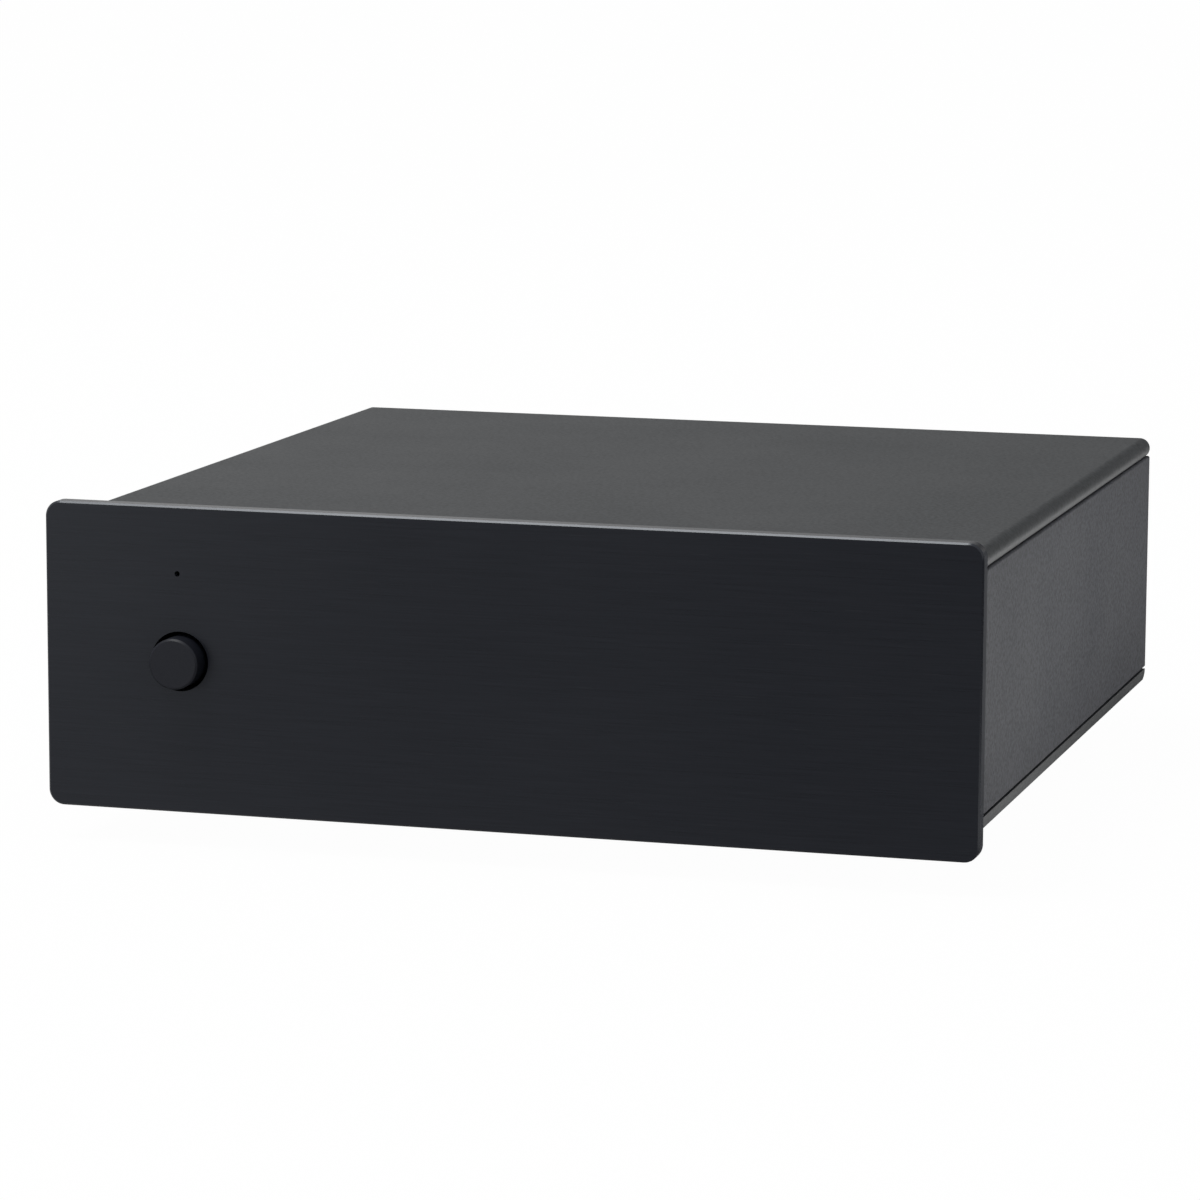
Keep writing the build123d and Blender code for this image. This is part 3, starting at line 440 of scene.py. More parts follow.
def powder_coat(name, dark, light, roughness, grain_height):
    """A satin black coat with a round grain of a real height, with painted shade in its pits and a painted
    highlight on its crowns.
    """
    material, tree, shader = start_finish(name, light, roughness, ior=1.45)
    grain = noise(tree, grain_scale)
    dust = noise(tree, dust_scale)
    cloud = noise(tree, cloud_scale, detail=3.0)
    # Painted shade and highlight: the colour follows the grain, darker in its pits and lighter on its
    # crowns.
    shade_to_highlight = spread(tree, grain, from_low=grain_pits, from_high=grain_crowns)
    connect(tree, tint(tree, shade_to_highlight, dark, light), shader, "Base Color")
    gloss = spread(tree, cloud, roughness - gloss_drift, roughness + gloss_drift)
    connect(tree, gloss, shader, "Roughness")
    round_grain = bump(tree, grain, grain_height, grain_strength)
    both = bump(tree, dust, grain_height * dust_share, grain_strength, under=round_grain)
    connect(tree, both, shader, "Normal")
    return material


finishes["black_satin_coat"] = powder_coat(
    "black_powder_coat", (0.0110, 0.0121, 0.0132), (0.0345, 0.0372, 0.0394), 0.56, 3.2e-5
)
# The side rails' coat: a coarser grain, and a lighter colour that is painted light for the lit side of the
# box.
finishes["grained_lit_coat"] = powder_coat(
    "grained_powder_coat_painted_lighter", (0.0140, 0.0146, 0.0180), (0.0485, 0.0500, 0.0600), 0.70, 5.5e-5
)
print("grain about", round(1000 / grain_scale, 2), "mm across")

# %% [markdown]
# ## Blasted aluminium
#
# The button and the inner front panel are aluminium too, blasted with glass beads before they
# were anodised, so they have no brush lines, only a very fine dust-like grain.

# %% Blasted black anodising
bead_scale = 9000.0
bead_depth = 1.5e-6
blasted_cloud_scale = 160.0
blasted_drift = 0.04


def blasted_anodised(name, dark, light, roughness):
    """Black anodising over a bead-blasted surface."""
    material, tree, shader = start_finish(name, light, roughness, ior=1.3)
    beads = noise(tree, bead_scale)
    cloud = noise(tree, blasted_cloud_scale)
    connect(tree, tint(tree, spread(tree, beads), dark, light), shader, "Base Color")
    gloss = spread(tree, cloud, roughness - blasted_drift, roughness + blasted_drift)
    connect(tree, gloss, shader, "Roughness")
    connect(tree, bump(tree, beads, bead_depth, strength=0.7), shader, "Normal")
    return material


finishes["black_anodised"] = blasted_anodised(
    "blasted_black_anodising", (0.0085, 0.0095, 0.0142), (0.0115, 0.0125, 0.0176), 0.42
)
print("grain about", round(1000 / bead_scale, 2), "mm across")

# %% [markdown]
# ## Plated metal
#
# Screws are black or bright zinc plated steel. Sockets, the ground post and its nut are gold plated
# brass: gold is soft, so the tool marks of the lathe still show through it as faint rings. One
# function makes all of them from a table.

# %% Plated metals
mark_scale = 900.0
mark_depth = 2e-6
mark_smoothest = 0.85
mark_roughest = 1.25
plated_cloud_scale = 210.0

# Each plating: its slot and name, a darker and a lighter colour, its roughness, and for gold also
# how its marks are stretched.
platings = (
    ("black_zinc_steel", "black_zinc_plate", (0.05, 0.05, 0.055), (0.085, 0.085, 0.092), 0.36),
    ("zinc_steel", "bright_zinc_plate", (0.55, 0.56, 0.57), (0.66, 0.66, 0.65), 0.28),
    ("spring_steel", "drawn_spring_wire", (0.42, 0.42, 0.43), (0.52, 0.52, 0.53), 0.25),
    ("gold_plated_brass", "gold_plated_brass", (0.83, 0.55, 0.2), (0.92, 0.66, 0.29), 0.2, (1.0, 9.0, 1.0)),
    ("nickel_plated_brass", "nickel_plated_brass", (0.66, 0.64, 0.6), (0.76, 0.74, 0.7), 0.18),
    ("tinned_copper", "tinned_copper", (0.68, 0.68, 0.66), (0.79, 0.79, 0.77), 0.34),
)


def plated(name, dark, light, roughness, stretch=(1.0, 1.0, 1.0)):
    """A plated metal whose machining marks run across the stretched axis."""
    material, tree, shader = start_finish(name, light, roughness, metallic=1.0)
    marks = noise(tree, mark_scale, stretch, detail=3.0)
    cloud = noise(tree, plated_cloud_scale, detail=3.0)
    connect(tree, tint(tree, spread(tree, cloud), dark, light), shader, "Base Color")
    gloss = spread(tree, marks, roughness * mark_smoothest, roughness * mark_roughest)
    connect(tree, gloss, shader, "Roughness")
    connect(tree, bump(tree, marks, mark_depth, strength=0.6), shader, "Normal")
    return material


for slot, *look in platings:
    finishes[slot] = plated(*look)
print(len(finishes), "finishes so far")

# %% [markdown]
# ## Moulded plastics and rubber
#
# A moulded part copies the skin of its mould. A spark-eroded mould gives a fine even dimple, a
# polished one gives gloss with slow waves where the plastic shrank. Rubber is duller and paler at
# a grazing angle. One function makes them all, from a colour, a gloss and the grain of the mould.

# %% Plastics and rubber
flow_scale = 130.0
skin_smoothest = 0.92
skin_roughest = 1.10

# Each moulding: its slot and name, two colours, its roughness, and its grain's scale and height.
mouldings = (
    ("black_rubber", "black_rubber", (0.016, 0.016, 0.016), (0.024, 0.024, 0.023), 0.72, 3800.0, 7e-6),
    ("black_plastic", "black_moulding", (0.018, 0.018, 0.019), (0.024, 0.024, 0.025), 0.42, 5200.0, 4e-6),
    ("white_plastic", "white_moulding", (0.78, 0.78, 0.75), (0.86, 0.86, 0.84), 0.3, 2600.0, 2e-6),
    ("red_plastic", "red_moulding", (0.5, 0.018, 0.018), (0.62, 0.026, 0.024), 0.3, 2600.0, 2e-6),
    ("blue_plastic", "blue_moulding", (0.016, 0.1, 0.31), (0.022, 0.125, 0.37), 0.38, 4200.0, 3e-6),
    ("film_case", "film_capacitor_case", (0.42, 0.045, 0.03), (0.52, 0.06, 0.04), 0.36, 4200.0, 3e-6),
    ("chip_black", "epoxy_moulding", (0.024, 0.024, 0.025), (0.034, 0.034, 0.035), 0.6, 6500.0, 5e-6),
    ("capacitor_sleeve", "shrunk_sleeve", (0.02, 0.026, 0.06), (0.03, 0.038, 0.085), 0.3, 900.0, 4e-6),
)


def moulded(name, dark, light, roughness, grain, height):
    """A moulded plastic: colour drifts a little, and the mould's grain shows as a bump."""
    material, tree, shader = start_finish(name, light, roughness, ior=1.48)
    skin = noise(tree, grain)
    flow = noise(tree, flow_scale)
    connect(tree, tint(tree, spread(tree, flow), dark, light), shader, "Base Color")
    gloss = spread(tree, skin, roughness * skin_smoothest, roughness * skin_roughest)
    connect(tree, gloss, shader, "Roughness")
    connect(tree, bump(tree, skin, height, strength=0.7), shader, "Normal")
    return material


for slot, *look in mouldings:
    finishes[slot] = moulded(*look)
print(len(finishes), "finishes so far")

# %% [markdown]
# The lens of the power light is cast from clear epoxy with a little blue dye. Light goes through
# it, so it has a function of its own, and its faint waves come from a slow noise.

# %% The lens of the power light
lens_colour = (0.42, 0.55, 0.86)
lens_clearness = 0.55
lens_roughness = 0.08
lens_smoothest = 0.06
lens_roughest = 0.12
lens_flow_scale = 420.0
lens_flow_depth = 2e-6


def lens():
    """Water-clear epoxy with a blue tint, as the dome of an unlit power light."""
    material, tree, shader = start_finish("clear_blue_lens", lens_colour, lens_roughness)
    shader.inputs["Transmission Weight"].default_value = lens_clearness
    flow = noise(tree, lens_flow_scale)
    connect(tree, spread(tree, flow, lens_smoothest, lens_roughest), shader, "Roughness")
    connect(tree, bump(tree, flow, lens_flow_depth, strength=0.5), shader, "Normal")
    return material


finishes["clear_blue_lens"] = lens()
print("made", finishes["clear_blue_lens"].name)

# %% [markdown]
# ## The circuit board
#
# A board is woven glass fibre under green solder mask. The copper tracks lie under the mask, a
# little raised and a little lighter. The board is hidden in the closed box, so a brick pattern is
# enough: its mortar lines stand for the tracks.

# %% Board with tracks
mask_green = (0.012, 0.12, 0.05)
mask_roughness = 0.34
mask_smoothest = 0.3
mask_roughest = 0.4
track_height = 2e-5
weave_scale = 2400.0
weave_depth = 4e-6


def circuit_mask():
    """Green solder mask over copper tracks."""
    material, tree, shader = start_finish("green_solder_mask", mask_green, mask_roughness)
    place = add(tree, "ShaderNodeTexCoord")
    tracks = add(
        tree,
        "ShaderNodeTexBrick",
        {
            "Color1": (0.010, 0.105, 0.045, 1.0),
            "Color2": (0.014, 0.125, 0.052, 1.0),
            "Mortar": (0.05, 0.24, 0.10, 1.0),
            "Scale": 170.0,
            "Mortar Size": 0.035,
            "Brick Width": 1.7,
            "Row Height": 0.42,
        },
    )
    connect(tree, place.outputs["Object"], tracks, "Vector")
    weave = noise(tree, weave_scale, detail=1.0)
    connect(tree, tracks.outputs["Color"], shader, "Base Color")
    connect(tree, spread(tree, weave, mask_smoothest, mask_roughest), shader, "Roughness")
    raised = bump(tree, tracks.outputs["Fac"], track_height, strength=0.6)
    connect(tree, bump(tree, weave, weave_depth, strength=0.5, under=raised), shader, "Normal")
    return material


finishes["green_board"] = circuit_mask()
print(len(finishes), "finishes")

# %% [markdown]
# ## Dress the parts of the frame
#
# The imported record says which finish each part takes, and only the two side rails get the coarser
# coat instead, whose lighter colour is painted light for the lit side of the box. A part's mesh
# stays as it is: only its material slots are filled.

# %% Give each part its finish
rails_coarse_and_lit = {"side_rail_left": "grained_lit_coat", "side_rail_right": "grained_lit_coat"}
for name, part in nodes.items():
    part.data.materials.clear()
    part.data.materials.append(finishes[rails_coarse_and_lit.get(name, slot_of[name])])
print("dressed", len(nodes), "parts in", len(finishes), "finishes")

# %% [markdown]
# ## Turned parts
#
# Feet, screws, the ground post and its nut are all round. They could be made with the Spin
# operator, but extruding one ring again and again, and scaling it after each step, is closer to
# what a lathe does, gives clean quads, and leaves rings that are easy to find again by height. A
# turned part is made standing at the origin, and is laid along its own axis at the end.

# %% A lathe made of extruded rings
close_enough = 1e-6


def on_ring(a, b, ring):
    """Whether the edge from a to b lies on the ring at (height, radius)."""
    height, radius = ring
    return all(
        abs(point.z - height) < close_enough
        and abs(math.hypot(point.x, point.y) - radius) < close_enough
        for point in (a, b)
    )


def turned(name, rings, sides=64, bored=False):
    """A body through rings of (height, radius): solid with flat ends, or bored right through."""
    nothing_selected()
    bpy.ops.mesh.primitive_circle_add(vertices=sides, radius=rings[0][1], location=(0, 0, rings[0][0]))
    body = settle(bpy.context.object)
    body.name = name
    bpy.ops.object.mode_set(mode="EDIT")
    bpy.ops.mesh.select_mode(type="EDGE")
    bpy.ops.mesh.select_all(action="SELECT")
    if not bored:
        bpy.ops.mesh.edge_face_add()
    for (height, radius), (next_height, next_radius) in zip(rings, rings[1:]):
        bpy.ops.mesh.extrude_region_move(TRANSFORM_OT_translate={"value": (0, 0, next_height - height)})
        share = next_radius / radius
        bpy.ops.transform.resize(value=(share, share, 1), center_override=(0, 0, next_height))
    object_mode()
    if bored:
        edit_edges(body, lambda a, b: on_ring(a, b, rings[0]) or on_ring(a, b, rings[-1]))
        bpy.ops.mesh.bridge_edge_loops()
        object_mode()
    return faces_out(body)


print("lathe ready, exact to", close_enough / MM, "mm")

# %% [markdown]
# A finished body is turned and carried to its place on the box, copied where the box has several,
# and dressed: it gets its finish, rides on a body of the frame, and stands for a part of it.

# %% Placing, copying and dressing
towards_rear = (-90.0, 0.0, 0.0)
towards_floor = (180.0, 0.0, 0.0)


def placed(body, x, y, z, turn=(0.0, 0.0, 0.0)):
    """Turn a finished body, move it to its place, and leave the object itself at the origin."""
    body.rotation_euler = [math.radians(angle) for angle in turn]
    body.location = (x, y, z)
    return settle(body)


def copied(body, name):
    """A copy with its own mesh."""
    twin = body.copy()
    twin.data = body.data.copy()
    twin.name = name
    twin.data.name = name
    bpy.context.scene.collection.objects.link(twin)
    return twin


def dressed(piece, body, slot, *replaced):
    """Give a new piece its finish, and tell the frame what it rides on and what it stands for."""
    piece.data.materials.clear()
    piece.data.materials.append(finishes[slot])
    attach(piece, body)
    if replaced:
        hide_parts(*replaced)
    return piece


print("turns in degrees: rear", towards_rear, "floor", towards_floor)

# %% [markdown]
# ## The rubber feet
#
# Each foot is moulded rubber, pulled through a hole in the bottom cover until its barb snaps out.
# Its tread is a raised rim and a raised middle with a groove between them, so that the foot grips
# like a small suction cup. It is one turned part: down the barb, the neck and the flared side, and
# then back and forth across the tread. The four feet are copies, each with a mesh of its own.

# %% Sizes of a foot
foot_low, foot_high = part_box("foot_front_left")
foot_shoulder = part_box("bottom_cover")[0].z
foot_neck_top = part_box("bottom_cover")[1].z
foot_top_radius = (foot_high.x - foot_low.x) / 2
foot_bottom_radius = 4.9 * MM
foot_edge_radius = 0.5 * MM
foot_edge_steps = 4
foot_neck_radius = 2.0 * MM
foot_barb_radius = 2.8 * MM
foot_barb_tip_radius = 1.6 * MM
foot_softening = 0.1 * MM
tread_rim_width = 1.2 * MM
tread_groove_width = 1.1 * MM
tread_groove_depth = 0.7 * MM
tread_dimple_radius = 0.9 * MM
tread_dimple_depth = 0.35 * MM
tread_slope = 0.15 * MM

edge_middle_radius = foot_bottom_radius - foot_edge_radius
groove_outside = foot_bottom_radius - tread_rim_width
groove_inside = groove_outside - tread_groove_width
print("a foot reaches", round(foot_shoulder / MM, 2), "mm below the case")

# %% [markdown]
# The rounded edge between the side and the tread is a quarter circle, so its rings come from a
# sine and a cosine. Everything else is a corner, and gets one ring each.

# %% Turn one foot and copy it
foot_rings = [
    (foot_high.z, foot_barb_tip_radius),
    (foot_neck_top, foot_barb_radius),
    (foot_neck_top, foot_neck_radius),
    (foot_shoulder, foot_neck_radius),
    (foot_shoulder, foot_top_radius),
    (foot_edge_radius, foot_bottom_radius),
]
for step in range(1, foot_edge_steps + 1):
    angle = math.radians(90 * step / foot_edge_steps)
    height = foot_edge_radius * (1 - math.sin(angle))
    foot_rings.append((height, edge_middle_radius + foot_edge_radius * math.cos(angle)))
foot_rings += [
    (0.0, groove_outside),
    (tread_groove_depth, groove_outside - tread_slope),
    (tread_groove_depth, groove_inside + tread_slope),
    (0.0, groove_inside),
    (0.0, tread_dimple_radius),
    (tread_dimple_depth, tread_dimple_radius - tread_slope),
]
foot_pattern = turned("foot_pattern", foot_rings)
apply_modifier(
    foot_pattern,
    "BEVEL",
    width=foot_softening,
    segments=2,
    limit_method="ANGLE",
    angle_limit=math.radians(30),
)
smooth(foot_pattern, angle=40.0)
for corner in ("front_left", "front_right", "rear_left", "rear_right"):
    foot = copied(foot_pattern, f"rubber_foot_{corner}")
    spot = middle(f"foot_{corner}")
    placed(foot, spot.x, spot.y, 0.0)
    dressed(foot, "root", "black_rubber", f"foot_{corner}")
bpy.data.objects.remove(foot_pattern)
print("a foot measures", [round(size / MM, 2) for size in foot.dimensions], "mm")

# %% [markdown]
# ## Countersunk screws
#
# The rear panel and the bottom cover are held by black countersunk screws. The recess for the
# screwdriver is punched cold into the head: a cross whose arms get shorter and thinner with depth.
# A cross could be drawn on the head and extruded down, but two tapered blades and a Boolean
# modifier are quicker, and cut each other cleanly in the middle. A blade is a block whose lower
# face is drawn in.

# %% The blade that cuts a recess
recess_length = 2.5 * MM
recess_width = 0.62 * MM
recess_depth = 0.8 * MM
recess_overlap = 0.1 * MM
recess_taper = (0.45, 0.55, 1.0)
nearly_down = -0.9


def tapered_blade(turn):
    """One arm of the cross: a block whose lower end is drawn in."""
    nothing_selected()
    bpy.ops.mesh.primitive_cube_add(size=1.0)
    blade = bpy.context.object
    blade.scale = (recess_length, recess_width, recess_depth + recess_overlap)
    placed(blade, 0, 0, (recess_overlap - recess_depth) / 2, (0.0, 0.0, turn))
    edit_faces(blade, lambda face: face.normal.z < nearly_down)
    along, across, down = recess_taper
    taper = (along, across, down) if turn == 0 else (across, along, down)
    bpy.ops.transform.resize(value=taper, center_override=(0, 0, -recess_depth))
    object_mode()
    return blade


print("recess", round(recess_length / MM, 2), "mm across and", round(recess_depth / MM, 2), "mm deep")

# %% [markdown]
# The screw itself is turned from the point up: the tip, the shank, the cone of the head and its
# thin rim. Then both blades are cut out of it, one after the other.

# %% Cut one screw
node_head_radius = 2.25 * MM
screw_head_radius = 2.2 * MM
screw_head_height = 1.0 * MM
screw_shank_radius = 1.25 * MM
screw_point = 0.3 * MM
screw_rim = 0.07 * MM


def countersunk_screw(name, length):
    """A screw whose flat head lies at the origin and whose shank hangs below it."""
    screw = turned(
        name,
        [
            (-length, screw_shank_radius - screw_point),
            (screw_point - length, screw_shank_radius),
            (-screw_head_height, screw_shank_radius),
            (-screw_rim, screw_head_radius),
            (0.0, screw_head_radius - screw_rim),
        ],
    )
    for turn in (0, 90):
        blade = tapered_blade(turn)
        apply_modifier(screw, "BOOLEAN", object=blade, operation="DIFFERENCE", solver="EXACT")
        bpy.data.objects.remove(blade)
    return smooth(screw, angle=30.0)


print("screw heads", round(2 * screw_head_radius / MM, 2), "mm across")

# %% [markdown]
# A screwdriver never stops two screws at the same angle, so each copy is turned a little further
# than the one before it. The heads lie at the corners of the box that the frame gives for the set.

# %% Place the screws
driver_start = 14.8
driver_step = 37.0


def screw_set(name, node, places, length, turn):
    """All the screws of a node: copies of one screw, each stopped at its own angle."""
    pattern = countersunk_screw(name + "_pattern", length)
    screws = []
    for number, place in enumerate(places):
        screw = copied(pattern, f"{name}_{number}")
        placed(screw, 0, 0, 0, (0.0, 0.0, driver_start + driver_step * number))
        screws.append(placed(screw, *place, turn))
    bpy.data.objects.remove(pattern)
    return dressed(joined(name, *screws), "root", "black_zinc_steel", node)


def either_end(low, high):
    """The middles of the two heads at the ends of a row of screws."""
    return (low + node_head_radius, high - node_head_radius)


low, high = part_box("rear_panel_screws")
rear_places = [(x, high.y, z) for x in either_end(low.x, high.x) for z in either_end(low.z, high.z)]
screw_set("rear_screws_black", "rear_panel_screws", rear_places, high.y - low.y, towards_rear)
low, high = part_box("bottom_cover_screws")
bottom_places = [(x, y, low.z) for x in either_end(low.x, high.x) for y in either_end(low.y, high.y)]
screw_set("bottom_screws_black", "bottom_cover_screws", bottom_places, high.z - low.z, towards_floor)
print("rear screws at", [tuple(round(c / MM, 2) for c in place) for place in rear_places])

# %% [markdown]
# ## The ground post
#
# A turntable's ground wire is clamped on a brass post with a fine thread. The thread could be faked
# with a bump, but its teeth show against the light, so it is real. It starts as one tooth: a line
# of points beside the post's axis, one pitch long, whose middle is pushed out.

# %% Draw one tooth
thread_pitch = 0.7 * MM
thread_crest = 2.0 * MM
thread_root = 1.66 * MM
tooth_parts = 8
flank_parts = (2.5, 1.5)


def tooth_line():
    """The outline of one tooth, one pitch high, as a line of edges beside the Z axis."""
    nothing_selected()
    bpy.ops.mesh.primitive_plane_add(size=thread_pitch, rotation=(math.radians(90), 0, 0))
    line = settle(bpy.context.object)
    edit_edges(line, lambda a, b: not (a.x > 0 and b.x > 0))
    bpy.ops.mesh.delete(type="EDGE")
    bpy.ops.mesh.select_all(action="SELECT")
    bpy.ops.mesh.subdivide(number_cuts=tooth_parts - 1)
    bpy.ops.transform.translate(value=(thread_root - thread_pitch / 2, 0, 0))
    object_mode()
    # The points nearest to the middle are pushed out twice, so the tooth gets sloping flanks.
    for reach in flank_parts:
        edit_points(line, lambda point: abs(point.z) < reach * thread_pitch / tooth_parts)
        bpy.ops.transform.translate(value=((thread_crest - thread_root) / len(flank_parts), 0, 0))
        object_mode()
    return line


print("a tooth every", round(thread_pitch / MM, 2), "mm")

# %% [markdown]
# A Screw modifier winds the tooth up the post, one pitch for each turn. It is wound a little too
# long, and a bisect at each end cuts it flat.

# %% Wind the thread
thread_steps = 40
spare_turns = 2


def threaded_rod(name, start, end):
    """A threaded rod from start to end, with flat ends."""
    rod = tooth_line()
    rod.name = name
    apply_modifier(
        rod,
        "SCREW",
        axis="Z",
        angle=math.radians(360),
        screw_offset=thread_pitch,
        iterations=math.ceil((end - start) / thread_pitch) + spare_turns,
        steps=thread_steps,
        render_steps=thread_steps,
    )
    placed(rod, 0, 0, start - thread_pitch)
    faces_out(rod)
    for height, cut in ((start, {"clear_inner": True}), (end, {"clear_outer": True})):
        edit_points(rod, lambda point: True)
        bpy.ops.mesh.bisect(plane_co=(0, 0, height), plane_no=(0, 0, 1), use_fill=True, **cut)
        object_mode()
    return faces_out(rod)


print("a turn of the thread has", thread_steps, "steps of", tooth_parts, "faces")

# %% [markdown]
# The rest of the post is turned: a plain flange that the wire is clamped against, outside the rear
# panel, and a short tip past the end of the thread, where the nut starts.

# %% Put the post together
post_low, post_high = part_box("ground_post")
flange_radius = (post_high.x - post_low.x) / 2
flange_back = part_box("rear_panel")[1].y
flange_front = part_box("ground_washer")[0].y
flange_chamfer = 0.25 * MM
flange_step_radius = 2.9 * MM
flange_step = 0.15 * MM
tip_length = 0.5 * MM
tip_chamfer = 0.25 * MM
rod_end = post_high.y - tip_length

rod = smooth(threaded_rod("post_rod", post_low.y, rod_end), angle=28.0)
tip = turned(
    "post_tip",
    [
        (rod_end - tip_chamfer, thread_root - tip_chamfer),
        (rod_end, thread_root),
        (post_high.y - tip_chamfer, thread_root),
        (post_high.y, thread_root - tip_chamfer),
    ],
)
flange = turned(
    "post_flange",
    [
        (flange_back, flange_radius - flange_chamfer),
        (flange_back + flange_chamfer, flange_radius),
        (flange_front - flange_chamfer, flange_radius),
        (flange_front, flange_radius - flange_chamfer),
        (flange_front, flange_step_radius),
        (flange_front - flange_step, flange_step_radius - flange_step),
    ],
)
post = joined("ground_post_threaded", rod, smooth(tip, angle=40.0), smooth(flange, angle=40.0))
placed(post, middle("ground_post").x, 0, middle("ground_post").z, towards_rear)
dressed(post, "root", "gold_plated_brass", "ground_post")
print("thread of", len(post.data.polygons), "faces, from", round(post_low.y / MM, 1), "mm")

# %% [markdown]
# ## The thumb nut
#
# The nut is turned by hand, so its grip is knurled: a hard wheel presses diamonds into the brass.
# To get diamonds from a cylinder of squares, each square is poked, which puts a point in its middle
# and four spokes to its corners, and then the squares' own edges are dissolved. A second poke lifts
# the middle of each diamond into a pyramid.

# %% Turn the nut
nut_low, nut_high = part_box("ground_nut")
nut_length = nut_high.y - nut_low.y
nut_radius = (nut_high.x - nut_low.x) / 2
nut_bore = 2.05 * MM
nut_sides = 44
collar_radius = nut_radius - 0.3 * MM
collar_chamfer = 0.4 * MM
collar_end = 0.95 * MM
waist_radius = nut_radius - 0.6 * MM
waist_end = 1.25 * MM
knurl_radius = nut_radius - 0.3 * MM
knurl_rise = 0.26 * MM
knurl_start = 1.35 * MM
knurl_rows = 8
dish_radius = 3.1 * MM
dish_depth = 0.3 * MM
bore_chamfer = 0.3 * MM

row_height = (nut_length - 2 * knurl_start) / knurl_rows
knurl_heights = [knurl_start + row_height * row for row in range(knurl_rows + 1)]
nut = turned(
    "thumb_nut_knurled",
    [
        (bore_chamfer, nut_bore),
        (0.0, nut_bore + bore_chamfer),
        (0.0, collar_radius - collar_chamfer),
        (collar_chamfer, collar_radius),
        (collar_end, collar_radius),
        (collar_end, waist_radius),
        (waist_end, waist_radius),
    ]
    + [(height, knurl_radius) for height in knurl_heights]
    + [
        (nut_length - waist_end, waist_radius),
        (nut_length - collar_end, waist_radius),
        (nut_length - collar_end, collar_radius),
        (nut_length - collar_chamfer, collar_radius),
        (nut_length, collar_radius - collar_chamfer),
        (nut_length, dish_radius),
        (nut_length - dish_depth, dish_radius - dish_depth),
        (nut_length - dish_depth, nut_bore + bore_chamfer),
        (nut_length - dish_depth - bore_chamfer, nut_bore),
    ],
    sides=nut_sides,
    bored=True,
)
print("the nut has", len(nut.data.polygons), "faces before it is knurled")

# %% [markdown]
# The band's own edges have to be told from the spokes that the first poke adds, and from the two
# rims that stay. An edge belongs to the grid of squares if both its ends lie on the rings.

# %% Knurl the nut
def on_knurl(face):
    """Whether a face belongs to the knurled band."""
    reach = math.hypot(face.center.x, face.center.y)
    return reach > waist_radius and abs(face.center.z - nut_length / 2) < nut_length / 2 - knurl_start


def on_row(point):
    """The number of the knurl's ring that a point is on, or None."""
    for row, height in enumerate(knurl_heights):
        outside = math.hypot(point.x, point.y) > knurl_radius - close_enough
        if outside and abs(point.z - height) < close_enough:
            return row
    return None


def square_edge(a, b):
    """Whether an edge belongs to the grid of squares, apart from the band's two rims."""
    rows = (on_row(a), on_row(b))
    return None not in rows and rows not in ((0, 0), (knurl_rows, knurl_rows))


squares = edit_faces(nut, on_knurl)
bpy.ops.mesh.poke(offset=0.0)
object_mode()
edit_edges(nut, square_edge)
bpy.ops.mesh.dissolve_edges(use_verts=False, use_face_split=False)
object_mode()
diamonds = edit_faces(nut, on_knurl)
bpy.ops.mesh.poke(offset=knurl_rise)
object_mode()
smooth(nut, angle=20.0)
placed(nut, middle("ground_nut").x, nut_low.y, middle("ground_nut").z, towards_rear)
dressed(nut, "ground_nut", "gold_plated_brass", "ground_nut")
print(squares, "squares became", diamonds, "diamonds")

# %% [markdown]
# ## The switch's spring
#
# Behind the button a small coil spring stands round the switch's shaft, and the button squeezes it
# against the switch. It is wound like the thread: a ring as thick as the wire is drawn beside the
# Z axis, and a Screw modifier turns it upwards, one pitch for each turn.

# %% Wind the spring
spring_low, spring_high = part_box("switch_spring")
spring_length = spring_high.y - spring_low.y
spring_radius = (spring_high.x - spring_low.x) / 2
spring_wire_radius = 0.2 * MM
spring_wire_sides = 12
spring_turns = 4
spring_steps = 36


def coil_spring(name):
    """A coil spring that stands on the origin along Z, its wire closed at both ends."""
    nothing_selected()
    bpy.ops.mesh.primitive_circle_add(
        vertices=spring_wire_sides,
        radius=spring_wire_radius,
        rotation=(math.radians(90), 0, 0),
        location=(spring_radius - spring_wire_radius, 0, spring_wire_radius),
    )
    coil = settle(bpy.context.object)
    coil.name = name
    apply_modifier(
        coil,
        "SCREW",
        axis="Z",
        angle=math.radians(360),
        screw_offset=(spring_length - 2 * spring_wire_radius) / spring_turns,
        iterations=spring_turns,
        steps=spring_steps,
        render_steps=spring_steps,
    )
    edit_points(coil, lambda point: True)
    bpy.ops.mesh.fill_holes(sides=0)
    object_mode()
    return smooth(faces_out(coil), angle=40.0)


spring = coil_spring("switch_spring_wound")
print("spring", round(spring_length / MM, 2), "mm long, of", len(spring.data.polygons), "faces")

# %% [markdown]
# The spring is carried to its place round the switch's shaft and given a mesh of its own. It is
# rigid, so the plunger that pushes it would cut it as the button goes in.

# %% Place the spring
placed(spring, middle("switch_spring").x, spring_low.y, middle("switch_spring").z, towards_rear)
dressed(spring, "root", "spring_steel", "switch_spring")
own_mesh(spring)

# %% [markdown]
# ## Printed marks
#
# The rear panel and the underside carry a little silk-screen print: which socket is left and
# which is right, the ground sign, and a number beside each setting slider. An image texture could
# carry it, but ink that is really there stays sharp at any distance: a text object gives the
# letters, and is turned into a mesh a few hundredths of a millimetre thick before it is laid down.

# %% Letters
ink_thickness = 0.02 * MM
letter_size = 2.5 * MM
digit_size = 1.9 * MM


